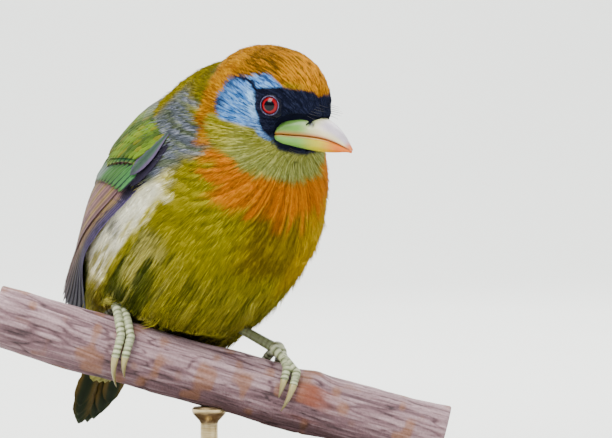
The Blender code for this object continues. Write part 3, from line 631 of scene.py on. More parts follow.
# Bill: forward, half width, culmen, mouth and keel, in the head's frame
BILL = ((3.0, 6.3, 1.2, -8.4, -11.6), (6.2, 6.3, 1.2, -7.5, -11.0), (11.3, 5.7, 0.9, -6.3, -10.2),
        (15.0, 5.0, 0.2, -5.4, -9.6), (19.1, 3.9, -0.6, -4.7, -8.8), (22.5, 2.7, -1.9, -4.7, -7.8),
        (25.7, 1.3, -3.9, -5.2, -6.6), (27.4, 0.5, -5.1, -5.7, -6.3))
# The horn's own shape, which swells at the gape and is rounded behind
HORN = ((5.2, 6.6, -5.4, -8.1, -9.9), (6.1, 7.8, -3.4, -7.7, -10.6), (7.5, 7.8, -1.7, -7.2, -10.8),
        (9.3, 7.0, -0.5, -6.8, -10.6), (11.8, 6.0, 0.3, -6.2, -10.1)) + BILL[3:]
SKIN_VOXEL = 0.72
SKIN_SMOOTHING = 26
FLESH_SWELL = 0.25

head_turn = np.array(Matrix.Rotation(HEAD_YAW, 3, "Z") @ Matrix.Rotation(HEAD_PITCH, 3, "Y"))
body_turn = np.array(Matrix.Rotation(BODY_YAW, 3, "Z"))


def head_place(points):
    """Forward, side away from the middle, and up, in the head's frame."""
    at = (np.asarray(points) - HEAD_AT) @ head_turn
    return at[..., 0], np.abs(at[..., 1]), at[..., 2]


def body_place(points):
    """How far toward the neck, how far toward the belly, and how far to the side of the body's long line."""
    at = (np.asarray(points) - BODY_AT) @ body_turn
    ahead, up, side = at[..., 0], at[..., 2], np.abs(at[..., 1])
    return (ahead + up - BODY_RISE) / math.sqrt(2), (ahead - up + BODY_RISE) / math.sqrt(2), side


def eye_gap(points):
    """How far points of the head are from the middle of the nearer eye."""
    f, side, h = head_place(points)
    return np.sqrt((f - EYE_AT[0]) ** 2 + (side - EYE_AT[1]) ** 2 + (h - EYE_AT[2]) ** 2)


def bill_gap(points):
    """How far points of the head are from the bill's surface, roughly; less than 0 inside it."""
    f, side, h = head_place(points)
    bill = np.array(HORN)
    wide, culmen, keel = (np.interp(f, bill[:, 0], bill[:, k]) for k in (1, 2, 4))
    over = np.maximum(np.maximum(side - wide, h - culmen), keel - h)
    return np.maximum(over, 5.2 - f)


def coat_depth(points):
    """How deep the feathers lie over the skin, in millimetres."""
    f, _, _ = head_place(points)
    t, q, _ = body_place(points)
    deep = 1.5 + 0.7 * step(10, 20, q) * step(34, 20, t)
    deep = deep + (1.0 - deep) * step(34, 44, t)
    face = step(-8, 4, f) * step(38, 44, t)
    deep = deep + (0.55 - deep) * face
    deep = deep * step(3.7, 5.6, eye_gap(points)) * (0.15 + 0.85 * step(0.2, 3.0, bill_gap(points)))
    return deep


CROWN_ORANGE = paint((142, 88, 0))
CROWN_BRIGHT = paint((172, 108, 0))
CROWN_BROWN = paint((84, 62, 4))
NAPE_ORANGE = paint((158, 104, 0))
NAPE_DARK = paint((92, 42, 6))
OLIVE_FRINGE = paint((108, 98, 10))
MASK = paint((14, 18, 36))
EAR_BLUE = paint((64, 122, 192))
EAR_DARK = paint((34, 60, 104))
EAR_PALE = paint((134, 180, 222))
EAR_LILAC = paint((96, 120, 166))
BROW_BLUE = paint((76, 128, 194))
EYE_LINE = paint((14, 18, 38))
THROAT_OLIVE = paint((112, 108, 14))
THROAT_PALE = paint((128, 136, 72))
BAND_ORANGE = paint((178, 98, 0))
BREAST_GOLD = paint((110, 92, 4))
BREAST_OLIVE = paint((136, 126, 8))
BREAST_YELLOW = paint((162, 130, 0))
BELLY_YELLOW = paint((142, 132, 22))
FLANK_CREAM = paint((253, 248, 220))
FLANK_GREEN = paint((62, 72, 18))
SCAPULAR_LILAC = paint((104, 110, 124))
BACK_GREEN = paint((76, 90, 14))
BACK_OLIVE = paint((132, 120, 8))
STREAK_DARK = paint((44, 52, 30))
STREAK_STRAW = paint((190, 180, 92))

# Where the feathers part from: just in front of the bill's base, in the head's frame
PARTING = np.array((11.5, 0.0, -5.5))


def strands(points, run, wide, seed):
    """Values from 0 to 1 that draw lines along the lie of the feathers, of that length and width."""
    spot = (points - HEAD_AT) @ head_turn - PARTING
    far = np.linalg.norm(spot, axis=-1)
    round_bill = np.arctan2(spot[..., 1], spot[..., 2]) * 20.0
    at = (points - BODY_AT) @ body_turn
    t, q, _ = body_place(points)
    round_body = np.arctan2(at[..., 1], q) * 26.0
    on_head = ripple(np.stack([far / run, round_bill / wide, 0.02 * far], -1), 1.0, seed)
    on_body = ripple(np.stack([t / run, round_body / wide, 0.02 * t], -1), 1.0, seed + 1)
    share = step(50, 42, far)
    return on_head * share + on_body * (1 - share)


def markings(points):
    """The plumage's colour at each point, how streaked its feathers are, and the streaks' two tones."""
    points = np.asarray(points, float)
    wobble = (ripple(points, 2.2, 11) - 0.5) * 2.0
    f, side, h = head_place(points)
    t, q, s = body_place(points)
    f, h, t, q = f + 0.5 * wobble, h + 0.4 * wobble, t + 0.9 * wobble, q + 1.3 * wobble
    patches = ripple(points, 4.5, 12)
    colour = np.broadcast_to(BACK_GREEN, points.shape).copy()
    streak = np.full(points.shape[:-1], 0.25)
    dark = np.broadcast_to(BACK_GREEN * 0.45, points.shape).copy()
    pale = np.broadcast_to(BACK_OLIVE, points.shape).copy()

    # Unless given, a marking's dark and pale tones are shaded and lit copies of its colour, partly painted
    # shade and light.
    def lay(amount, tint, streaked=None, deep=None, light=None):
        nonlocal colour, streak, dark, pale
        tint = np.asarray(tint)
        colour = blended(amount, colour, tint)
        dark = blended(amount, dark, tint * 0.45 if deep is None else deep)
        pale = blended(amount, pale, np.minimum(tint * 1.35, 0.95) if light is None else light)
        if streaked is not None:
            streak = streak + (streaked - streak) * np.clip(amount, 0, 1)

    # Back and shoulders
    lay(step(14, 26, t) * step(-8, -15, q), BACK_OLIVE, 0.35)
    # Breast and belly: olive-yellow sides, a darker golden middle, and long soft streaks below
    under = step(-3.0, 1.5, q)
    lay(under, BELLY_YELLOW, 0.62, paint((66, 72, 12)), paint((176, 164, 62)))
    front = step(0, 12, t) * under
    lay(front, BREAST_OLIVE, 0.5, paint((66, 68, 8)), paint((170, 158, 30)))
    lay(front * step(14, 26, q) * step(18, 9, s) * step(8, 16, t), BREAST_GOLD, 0.4, paint((74, 62, 4)),
        paint((164, 140, 20)))
    # The bird's left side is painted brighter yellow across the breast: painted light from behind shining
    # through its edge.
    backlit_side = ((points - BODY_AT) @ body_turn)[..., 1]
    lay(step(-2, 12, t) * step(16, 24, q) * step(1, 8, backlit_side), BREAST_YELLOW, 0.3, BREAST_GOLD,
        paint((196, 168, 30)))
    # Lilac-grey shoulder, ragged where it meets the breast, with green hair lines
    ruffled = 5.0 * (strands(points, 9.0, 1.2, 13) - 0.5)
    shoulder = step(13, 19, t) * step(40.5, 38.5, t) * step(11, 16, s)
    shoulder = shoulder * step(-18, -13, q) * step(8.0, 2.5, q + ruffled)
    lay(shoulder, SCAPULAR_LILAC, 0.6, paint((50, 58, 58)), paint((156, 160, 176)))
    hairs = step(0.58, 0.44, strands(points, 14.0, 0.6, 14))
    lay(shoulder * hairs * 0.8, paint((84, 94, 56)), 0.6, STREAK_DARK, paint((132, 138, 118)))
    # Flank and belly, with soft dark and straw streaks
    flank = step(-28, -16, t) * step(13, 3, t) * step(7, 10, q) * step(21, 14, q)
    lay(flank, blended(patches, FLANK_GREEN, BELLY_YELLOW), 1.0, paint((40, 50, 12)), paint((180, 174, 96)))
    belly = step(-36, -22, t) * step(12, 2, t) * step(6, 9, q) * step(25, 18, q)
    soft = strands(points, 11.0, 2.0, 18)
    lay(belly * step(0.54, 0.72, soft) * 0.8, FLANK_GREEN, 0.9)
    lay(belly * step(0.46, 0.3, soft) * 0.6, STREAK_STRAW, 0.7)
    # Cream patch under the wing, with a yellow fringe, a grey spot and yellow streaks
    cream_low = np.interp(t, (-26, -14, -4, 4, 14, 22, 27), (-6.0, -6.0, -6.0, -5.0, 0.6, 3.2, 4.4))
    cream_high = np.interp(t, (-26, -16, -6, 3, 10, 15, 22, 27), (1.5, 3.2, 4.2, 5.6, 6.4, 6.6, 5.4, 4.0))
    ragged = 5.0 * (strands(points, 6.0, 1.5, 15) - 0.5)
    above = step(-1.2, 1.2, q - cream_low)
    cream = above * step(1.4, -1.4, q - cream_high + ragged) * step(-25, -17, t + ragged)
    cream = cream * step(25.5, 16.5, t + 1.5 * ragged)
    fringe = above * step(3.6, 0.6, q - cream_high + ragged) * step(-26, -18, t) * step(27, 22, t)
    lay(fringe, paint((196, 186, 60)), 0.6, BELLY_YELLOW, FLANK_CREAM)
    lay(cream, FLANK_CREAM, 0.14, paint((214, 208, 160)), paint((255, 253, 240)))
    spot = step(3.4, 1.0, np.hypot((t + 2.5) * 0.8, (q - 0.2) * 0.8))
    lay(cream * spot * 0.8, paint((140, 138, 150)), 0.8, FLANK_GREEN, FLANK_CREAM)
    lay(cream * step(0.5, 0.36, strands(points, 7.0, 1.2, 17)) * step(0, -12, t) * 0.85, BELLY_YELLOW, 0.8)
    lay(step(-40, -50, t) * step(-4, 6, q), paint((150, 142, 40)), 0.5)
    # Orange collar: broad across the breast, a narrow strip up each side of the neck
    low_edge = 29.3 + 5.2 * step(17, 6, q)
    frayed = 6.0 * (strands(points, 5.0, 1.0, 19) - 0.5)
    front_band = step(-2.4, 2.0, t - low_edge + frayed) * step(38.4, 36.4, t) * step(2, 6, q)
    lay(front_band, BAND_ORANGE, 0.75, paint((132, 80, 0)), paint((206, 128, 0)))
    # Head and throat
    head = step(36.6, 38.6, t)
    low = step(-6.6, -8.4, h)
    throat = head * low
    lay(head * (1 - low) * step(-12.5, -10.0, f), CROWN_ORANGE, 0.5, CROWN_BROWN, CROWN_BRIGHT)
    lay(throat, blended(step(38, 46, t) * 0.55 + patches * 0.3, THROAT_PALE, THROAT_OLIVE), 0.38,
        paint((92, 94, 20)), paint((184, 184, 108)))
    lay(throat * step(1, -7, f) * step(8, 13, side), THROAT_OLIVE, 0.4, paint((110, 104, 20)),
        paint((200, 190, 80)))
    # Nape: an orange band from the crown down behind the ear coverts, with a dark tip
    nape_middle = np.interp(h, (-14, -9.5, -5, -2, 3, 9), (-8.2, -12.6, -13.6, -13.9, -13.4, -12.0))
    nape_half = np.interp(h, (-14, -9.5, -5, -2, 3, 9), (0.9, 1.3, 2.4, 3.2, 4.4, 4.6))
    nape = step(0.8, -0.8, np.abs(f - nape_middle) - nape_half) * step(-16.5, -14.0, h) * step(35, 37, t)
    top = step(5.2, 7.2, h) * step(-17.5, -14.5, f)
    lay(top, blended(step(-6, 9, f), CROWN_ORANGE, CROWN_BRIGHT), 0.85, CROWN_BROWN * 0.7,
        paint((186, 132, 8)))
    brown = step(1.25, 0.7, np.hypot((f + 3.0) / 7.5, (h - 8.0) / 5.0)) * step(4.5, 5.5, h)
    lay(brown * (0.4 + 0.4 * patches), CROWN_BROWN, 0.9, CROWN_BROWN * 0.35, CROWN_BRIGHT)
    lay(top * step(0.42, 0.66, patches) * step(11, -2, f) * 0.6, CROWN_BROWN, 0.9, CROWN_BROWN * 0.4,
        CROWN_BRIGHT)
    lay(nape, NAPE_ORANGE, 0.7, paint((118, 64, 0)), paint((196, 140, 6)))
    lay(nape * step(-8.0, -10.0, h) * step(-12.5, -10.5, h) * 0.85, NAPE_DARK, 0.3)
    lay(step(-15.5, -18.5, f) * step(-8, -4, h) * step(8, 4, h) * head * 0.9, OLIVE_FRINGE, 0.5)
    # Ear coverts: powder blue, darker above and behind, a pale strip behind the eye
    ear_rear = np.interp(h, (-8.0, -5.5, -2.6, 1.4, 4.3), (-8.2, -9.9, -10.8, -9.4, -8.0))
    ear_low = np.interp(f, (-9.0, -2.2, 1.6, 4.3, 6.0), (-7.4, -7.4, -7.6, -9.6, -10.6))
    line = np.interp(f, (-9.0, -5.1, -3.0, -1.0, 1.2), (3.4, 4.7, 4.8, 4.4, 3.2))
    ear = step(-0.5, 0.5, f - ear_rear) * step(-0.5, 0.5, h - ear_low) * step(0.6, 0.0, h - line)
    ear = ear * step(5, 7, side) * step(7.5, 6.5, f)
    lay(ear, EAR_BLUE, 0.75, EAR_DARK * 0.5, EAR_PALE)
    behind = np.clip(step(-1, 4, h) * step(1, -4, f) + step(-6.5, -9.5, f), 0, 1)
    lay(ear * behind * 0.8, EAR_DARK, 0.9, EYE_LINE, EAR_BLUE)
    lay(ear * step(-2.5, -7.0, h) * step(-3, 3, f) * 0.7, EAR_LILAC, 0.7, EAR_DARK, EAR_PALE)
    lay(ear * step(1.2, 0.5, np.abs(f - 0.1 + 0.34 * h)) * step(-6, -3, h) * step(3.8, 2.8, h), EAR_PALE, 0.3)
    # Brow and the dark line under it
    mask_top = np.interp(f, (-1.0, 0.5, 5.7, 12.6, 14.0), (3.2, 3.9, 5.9, 6.4, 5.8))
    brow_top = np.interp(f, (-6.0, -3.0, 0.0, 2.5, 4.5, 6.4), (4.9, 5.9, 7.9, 8.2, 7.0, 5.9))
    brow = step(0.5, -0.3, h - brow_top) * step(-1.2, -0.4, h - mask_top)
    lay(brow * step(-6.6, -5.0, f) * step(7.0, 6.0, f), BROW_BLUE, 0.9, EAR_DARK, EAR_PALE)
    mask_edge = step(1.2, 0.3, np.abs(h - mask_top - 0.7))
    lay(mask_edge * step(5.6, 7.0, f) * step(12.5, 8.0, f) * 0.7, OLIVE_FRINGE, 0.7)
    eye_line = step(0.75, 0.3, np.abs(h - line - 0.3))
    lay(eye_line * step(-9.0, -6.5, f) * step(2.4, 1.4, f) * step(7, 9, side), EYE_LINE, 0.3)
    # Black mask round the eye and the bill's base, with the chin
    mask = step(-0.35, 0.35, f - 1.0 + 0.42 * h) * step(0.35, -0.35, h - mask_top)
    mask = mask * step(-0.5, 0.7, h + 12.3 - 1.8 * step(9, 5, f))
    mask = np.maximum(mask, step(4.2, 3.7, np.hypot(f - EYE_AT[0], h - EYE_AT[2])) * step(7, 9, side))
    lay(mask * step(-0.5, 0.8, f), MASK, 0.35, MASK * 0.4, paint((52, 58, 84)))
    return colour, streak, dark, pale


work = bmesh.new()
for name in ("head", "neck", "torso"):
    flesh = bmesh.new()
    flesh.from_mesh(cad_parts[name].data)
    bmesh.ops.remove_doubles(flesh, verts=flesh.verts, dist=1e-6)
    flesh.normal_update()
    for vertex in flesh.verts:
        vertex.co += vertex.normal * (FLESH_SWELL * MM)
    mesh = bpy.data.meshes.new("flesh")
    flesh.to_mesh(mesh)
    flesh.free()
    work.from_mesh(mesh)
    bpy.data.meshes.remove(mesh)
skin_mesh = bpy.data.meshes.new("body_skin")
work.to_mesh(skin_mesh)
work.free()
skin = bpy.data.objects.new("body_skin", skin_mesh)
bpy.context.collection.objects.link(skin)
remesh = skin.modifiers.new("one_skin", "REMESH")
remesh.mode = "VOXEL"
remesh.voxel_size = SKIN_VOXEL * MM
applied(skin)


def values_of(items, name, width, kind=np.int32):
    """A row of values for each of a mesh's items, such as the two ends of each edge."""
    values = np.empty(len(items) * width, kind)
    items.foreach_get(name, values)
    return values.reshape(-1, width)


def vertex_values(piece, name):
    """One three-part value of each of the piece's points, such as its place or its smooth normal."""
    return values_of(piece.data.vertices, name, 3, np.float32).astype(float)


def vertex_places(piece):
    """The piece's points in millimetres of the bird's plan."""
    return vertex_values(piece, "co") / MM - np.array(SHIFT)


def set_places(piece, points):
    """The piece's points, moved to places in millimetres of the bird's plan."""
    piece.data.vertices.foreach_set("co", ((points + np.array(SHIFT)) * MM).astype(np.float32).ravel())
    piece.data.update()


places = vertex_places(skin)
ends = values_of(skin.data.edges, "vertices", 2)
near_count = np.bincount(ends.ravel(), minlength=len(places))[:, None]
ease = 0.5 * step(5.0, 8.0, eye_gap(places)) * step(0.5, 3.5, bill_gap(places))
for _ in range(SKIN_SMOOTHING):
    total = np.zeros_like(places)
    for axis in range(3):
        total[:, axis] = (np.bincount(ends[:, 0], places[ends[:, 1], axis], len(places))
                          + np.bincount(ends[:, 1], places[ends[:, 0], axis], len(places)))
    places += (total / near_count - places) * ease[:, None]
# The skin is let in beside the bill's base, so that the swollen horn shows as far back as the gape
at = (places - HEAD_AT) @ head_turn
horn = np.array(HORN)
wide, culmen, keel = (np.interp(at[:, 0], horn[:, 0], horn[:, k]) for k in (1, 2, 4))
inward = np.maximum(np.abs(at[:, 1]) - (wide - 0.9), 0) * step(5.0, 6.4, at[:, 0])
inward *= step(0.2, -1.0, at[:, 2] - culmen) * step(-0.8, 0.6, at[:, 2] - keel)
at[:, 1] -= np.sign(at[:, 1]) * inward
places = at @ head_turn.T + HEAD_AT
set_places(skin, places)
ways = vertex_values(skin, "normal")
places = places - ways * (coat_depth(places) + FLESH_SWELL)[:, None]
set_places(skin, places)

only(skin)
bpy.ops.object.mode_set(mode="EDIT")
bpy.ops.mesh.select_all(action="SELECT")
bpy.ops.uv.smart_project(angle_limit=math.radians(72), island_margin=0.002)
bpy.ops.object.mode_set(mode="OBJECT")
skin.data.uv_layers[0].name = "OFBake"
skin_shade_tint = np.ones((len(places), 4), np.float32)
# The skin takes the markings at half brightness: painted shade that shows between the feathers.
skin_shade_tint[:, :3] = markings(places)[0] * 0.5
skin_colours = skin.data.color_attributes.new("colouring", "FLOAT_COLOR", "POINT")
skin_colours.data.foreach_set("color", skin_shade_tint.ravel())
skin_finish = coloured_finish("feathered_skin", 0.85, 0.25, 2200.0, 0.4, 0.0002,
                              {"Specular IOR Level": 0.04})
smoothed(fitted(skin, skin_finish, "body_plumage", "head", "neck", "torso"))


# Coat
# The head, neck and body feathers: each feather a fan of fine barbs, rooted in the skin, lying
# along it and away from the bill, then down the body. They are shortest on the face.

BARBS = 14
BARB_FACES = 6
# Each feather's share of the skin's own UV map
TUFT_PATCH = 0.003
# Larger groups of feathers are parted into pieces of no more triangles than this
MOST_TRIANGLES = 190000
SEED = 20
# Roots thrown for each place in the coat, and the least gap between them as a share of the spacing
THROWS = 3.2
LEAST_GAP = 0.82
# The side of the cubes in which near roots are looked for
CELL = 1.6

rng = np.random.default_rng(SEED)
skin_mesh = skin.data
skin_mesh.calc_loop_triangles()
places, ways = vertex_places(skin), vertex_values(skin, "normal")
tri_points = values_of(skin_mesh.loop_triangles, "vertices", 3)
tri_loops = values_of(skin_mesh.loop_triangles, "loops", 3)
skin_uv = values_of(skin_mesh.uv_layers["OFBake"].data, "uv", 2, np.float32)
skin_tree = BVHTree.FromPolygons([Vector(p) for p in places], [tuple(t) for t in tri_points])


def coat_size(points):
    """The length, the fan's width and the spacing of the feathers, in millimetres."""
    f, _, h = head_place(points)
    t, q, s = body_place(points)
    length = 6.2 + 1.0 * step(8, 18, q) * step(30, 18, t) + 2.8 * step(9, -8, t) * step(-7, -1, q)
    length = length + 2.2 * step(12, 17, t) * step(-16, -11, q) * step(4.0, 1.0, q) * step(11, 15, s)
    length = length + (4.8 - length) * step(28, 37, t)
    on_head = step(38, 42, t) * step(-15, -9, f) * step(-9.5, -6.0, h)
    length = length + (3.5 - length) * on_head
    ears = step(-11, -8, f) * step(2, -1, f) * step(-8, -6, h) * step(6, 3, h)
    length = length + (4.3 - length) * ears * on_head
    face = np.maximum(step(0.0, 3.5, f) * step(7.5, 5.5, h), step(4, 9, f) * 0.6) * step(41, 45, t)
    length = length + (1.9 - length) * face
    near = np.minimum(eye_gap(points) - 3.4, bill_gap(points))
    length = length * (0.5 + 0.5 * step(0.2, 3.0, near))
    return length, 0.3 * length + 0.5, 0.105 * length + 0.3


def lie_of(points, ways):
    """Which way the feathers point along the surface."""
    parting = HEAD_AT + head_turn @ PARTING
    from_bill = points - parting
    far = np.linalg.norm(from_bill, axis=1)
    from_bill /= far[:, None]
    down_body = body_turn @ np.array((-1.0, 0.0, -1.0)) / math.sqrt(2)
    share = step(62, 30, far)[:, None]
    way = from_bill * share + down_body * (1 - share)
    way = way + 0.22 * (np.stack([ripple(points, 11.0, k) for k in (21, 22, 23)], -1) - 0.5)
    way = way + 0.08 * (np.stack([ripple(points, 3.0, k) for k in (24, 25, 26)], -1) - 0.5)
    way -= ways * np.einsum("ij,ij->i", way, ways)[:, None]
    return way / np.maximum(np.linalg.norm(way, axis=1), 1e-6)[:, None]


def perch_out(points):
    """How far points are from the branch's surface, and the way out of it there."""
    at = points - perch_middle
    place = at @ perch_along
    rise, front = at @ perch_up - PERCH_BEND * place**2, at @ perch_front
    far = np.maximum(np.hypot(rise, front), 1e-6)
    return far - PERCH_RADIUS, (rise / far)[:, None] * perch_up + (front / far)[:, None] * perch_front


def onto_skin(points):
    """The nearest places on the skin and its smooth normals; near the branch, places that hang over it."""
    found, out = np.empty_like(points), np.empty_like(points)
    for i, point in enumerate(points):
        place, _, index, _ = skin_tree.find_nearest(Vector(point))
        found[i] = place
        out[i] = ways[tri_points[index]].sum(0)
    out /= np.linalg.norm(out, axis=1)[:, None]
    gap, perch_way = perch_out(points)
    hang = (step(3.6, 1.2, gap) * step(-0.2, 0.5, np.einsum("ij,ij->i", out, perch_way) + 0.6))[:, None]
    found = found + (points - found) * hang
    out = out * (1 - hang) + perch_way * hang
    gap, perch_way = perch_out(found)
    found = found + perch_way * np.maximum(0.5 - gap, 0)[:, None]
    return found, out / np.maximum(np.linalg.norm(out, axis=1), 1e-6)[:, None]


# Roots are thrown at random over the skin and kept where no other is too near
corners = places[tri_points]
areas = np.linalg.norm(np.cross(corners[:, 1] - corners[:, 0], corners[:, 2] - corners[:, 0]), axis=1) / 2
middle = corners.mean(1)
spacing = coat_size(middle)[2]
share = areas / spacing**2
tries = int(share.sum() * THROWS)
picked = rng.choice(len(areas), tries, p=share / share.sum())
weights = rng.dirichlet((1, 1, 1), tries)
roots = np.einsum("ij,ijk->ik", weights, corners[picked])
root_uv = np.einsum("ij,ijk->ik", weights, skin_uv[tri_loops[picked]])
root_gap = coat_size(roots)[2] * LEAST_GAP
free = (eye_gap(roots) > 3.55) & (bill_gap(roots) > 0.2) & (perch_out(roots)[0] > 0.6)
t, q, s = body_place(roots)
free &= ~((np.abs(s) < 8) & (t < -59))
taken = {}
kept = []
cells = np.floor(roots / CELL).astype(int)
for i in np.nonzero(free)[0]:
    cx, cy, cz = cells[i]
    p, gap = roots[i], root_gap[i]
    clear = True
    for key in ((cx + a, cy + b, cz + c) for a in (-1, 0, 1) for b in (-1, 0, 1) for c in (-1, 0, 1)):
        for j in taken.get(key, ()):
            d = roots[j] - p
            if d[0] * d[0] + d[1] * d[1] + d[2] * d[2] < gap * gap:
                clear = False
                break
        if not clear:
            break
    if clear:
        taken.setdefault((cx, cy, cz), []).append(i)
        kept.append(i)
kept = np.array(kept)
roots, root_uv, picked, weights = roots[kept], root_uv[kept], picked[kept], weights[kept]
count = len(roots)

length, fan, _ = coat_size(roots)
length = length * rng.uniform(0.85, 1.15, count)
root_way = np.einsum("ij,ijk->ik", weights, ways[tri_points[picked]])
root_way /= np.linalg.norm(root_way, axis=1)[:, None]
lie = lie_of(roots, root_way)
mid, mid_way = onto_skin(roots + lie * (length * 0.5)[:, None])
mid_lie = lie_of(mid, mid_way)
tip, tip_way = onto_skin(mid + mid_lie * (length * 0.5)[:, None])
tip_lie = lie_of(tip, tip_way)
depth = coat_depth(roots)
loose = 1 + 0.8 * rng.random(count) ** 6
# Streaks are short on the head and long on the body
fine_run = step(44, 30, body_place(roots)[0])


def fan_of(which, barbs=BARBS):
    """The points, faces, colours and UVs of the chosen feathers: each a loose fan of thin closed barbs."""
    n = len(which)
    points = np.empty((n, barbs, 5, 3))
    tints = np.empty((n, barbs, 5, 3))
    uvs = np.empty((n, barbs, 5, 2))
    across = [np.cross(a[which], b[which])
              for a, b in ((lie, root_way), (mid_lie, mid_way), (tip_lie, tip_way))]
    deep = depth[which][:, None]
    for k in range(barbs):
        half = (fan[which] / 2 * ((k + 0.5) / barbs * 2 - 1 + rng.uniform(-0.2, 0.2, n)))[:, None]
        width = ((0.15 + 0.017 * length[which]) * rng.uniform(0.75, 1.15, n))[:, None]
        slide = (length[which] * rng.uniform(-0.2, 0.2, n))[:, None]
        reach = rng.uniform(0.7, 1.05, n)[:, None]
        middle_at = mid[which] + across[1] * half * 0.95 + mid_lie[which] * slide
        # Long feathers are hair-like: their lines run on farther
        fine = strands(middle_at, 1.5 + 2.6 * fine_run[which] + 6.0 * step(7.0, 8.2, length[which]), 0.34, 43)
        broad = strands(middle_at, 9.0, 1.5, 45)
        rise = (0.72 + 0.34 * fine + rng.uniform(-0.08, 0.08, n))[:, None]
        points[:, k, 0] = roots[which] + across[0] * half * 0.8 + lie[which] * slide - root_way[which] * 0.12
        middle_at = middle_at + mid_way[which] * deep * rise * 0.86
        for corner, sideways, up in ((1, -0.5, 0.0), (2, 0.5, 0.0), (3, 0.0, 0.34)):
            points[:, k, corner] = middle_at + across[1] * width * sideways + mid_way[which] * width * up
        tip_at = mid[which] + (tip[which] - mid[which]) * reach + across[2] * half + tip_lie[which] * slide
        points[:, k, 4] = tip_at + tip_way[which] * deep * rise * loose[which][:, None]
        # Darker and paler barbs run on from feather to feather and draw the plumage's fine lines: partly its
        # own streaks, partly painted shade in the gaps between locks of feathers and painted light on the
        # locks
        colour, streak, dark, pale = markings(middle_at)
        drawn = fine + 0.45 * (rng.random(n) - 0.5)
        tint = blended(step(0.48, 0.26, drawn) * (0.3 + 0.65 * streak), colour, dark)
        tint = blended(step(0.56, 0.8, drawn) * (0.2 + 0.6 * streak), tint, pale)
        low_down = 0.25 + 0.75 * step(14, -4, body_place(middle_at)[0])
        tint = blended(step(0.44, 0.26, broad) * streak * 0.6 * low_down, tint, dark)
        tint = blended(step(0.58, 0.8, broad) * streak * 0.45 * low_down, tint, pale)
        tint = tint * rng.uniform(0.93, 1.07, n)[:, None]
        # Each barb is painted darker at its root and along its low sides than at its ridge and tip: painted
        # shade down among the feathers.
        for corner, tone in ((0, 0.45), (1, 0.85), (2, 0.85), (3, 0.98), (4, 1.02)):
            tints[:, k, corner] = np.minimum(tint * tone, 0.95)
        patch = np.array(((0, -0.5), (-0.3, 0), (0.3, 0), (0, 0.1), (0, 0.5)))
        patch = patch * TUFT_PATCH / np.array((barbs * 0.6, 1))
        uvs[:, k] = root_uv[which][:, None] + patch + np.array((TUFT_PATCH, 0)) * ((k + 0.5) / barbs - 0.5)
    shape = np.array(((0, 2, 1), (0, 3, 2), (0, 1, 3), (1, 2, 4), (2, 3, 4), (3, 1, 4)))
    faces = (np.arange(n * barbs) * 5)[:, None, None] + shape[None]
    faces = faces.reshape(-1, 3)
    return points.reshape(-1, 3), faces, tints.reshape(-1, 3), uvs.reshape(-1, 2)[faces]


plumage = {name: coloured_finish(name, 0.6, 0.14, 1600.0, 0.1, 0.00005, {"Specular IOR Level": 0.03})
           for name in ("head_plumage", "neck_plumage", "body_plumage")}

f, side, h = head_place(mid)
t, q, s = body_place(mid)
is_head = (t > 38) & (f > -18.5)
is_face = is_head & (f > -2.5) & (h < 7.5)
is_neck = ~is_head & (t > 28)
is_body = ~is_head & ~is_neck
for name, chosen, slot in (("coat_face", is_face, "head_plumage"),
                           ("coat_crown", is_head & ~is_face & (h > -2), "head_plumage"),
                           ("coat_cheeks", is_head & ~is_face & (h <= -2), "head_plumage"),
                           ("coat_collar", is_neck, "neck_plumage"),
                           ("coat_breast", is_body & (t > 6) & (q > 0), "body_plumage"),
                           ("coat_back", is_body & (q <= 0), "body_plumage"),
                           ("coat_belly", is_body & (t <= 6) & (q > 0), "body_plumage")):
    which = np.nonzero(chosen)[0]
    parts = max(1, math.ceil(len(which) * BARBS * BARB_FACES / MOST_TRIANGLES))
    for number, some in enumerate(np.array_split(which, parts), 1):
        label = name if parts == 1 else f"{name}_{number}"
        fitted(piece_from(label, *fan_of(some)), plumage[slot], slot)


# Wings
# Folded flight feathers under three tiers of coverts, each feather a thin cambered vane with a
# shaft and slightly broken edges, all laid on one form a little larger than the body.

# Forward, up, half width, depth to the back and depth to the belly at each station
WING_FORM = ((22.0, 97.0, 23.0, 24.0, 24.0), (12.0, 86.5, 27.6, 30.3, 28.0), (0.0, 72.6, 29.4, 31.4, 28.0),
             (-13.0, 60.3, 27.6, 28.2, 25.0), (-26.0, 53.5, 23.0, 20.0, 18.0),
             (-40.0, 50.0, 17.0, 13.0, 10.0), (-53.5, 46.0, 12.0, 8.0, 6.0))
VANE_THICKNESS = 0.22
VANE_COLUMNS = 13
WING_TILT = math.radians(-8)
# How fine and how strong the uneven course of the barb lines is
JITTER_SCALE = 700.0
JITTER = 3.0
WING_LIME = paint((98, 126, 20))
WING_MOSS = paint((56, 78, 16))
WING_TEAL = paint((50, 112, 66))
WING_LILAC = paint((128, 122, 136))
WING_SHADE = paint((56, 68, 36))
FLIGHT_MAUVE = paint((124, 92, 92))
FLIGHT_DARK = paint((24, 20, 34))
FLIGHT_VIOLET = paint((92, 78, 120))
FLIGHT_EDGE = paint((146, 126, 40))
ALULA_PURPLE = paint((88, 76, 104))
ALULA_GREEN = paint((60, 112, 62))


def along(stations, share):
    """The values at a share from 0 to 1 of a smooth curve through evenly spaced stations."""
    rows = np.array(stations, float)
    at = min(max(share, 0.0), 1.0) * (len(rows) - 1)
    i = min(int(at), len(rows) - 2)
    x = at - i
    before = rows[i - 1] if i else 2 * rows[0] - rows[1]
    after = rows[i + 2] if i + 2 < len(rows) else 2 * rows[-1] - rows[-2]
    a, b = rows[i], rows[i + 1]
    return 0.5 * (2 * a + (b - before) * x + (2 * before - 5 * a + 4 * b - after) * x**2
                  + (3 * a - before - 3 * b + after) * x**3)


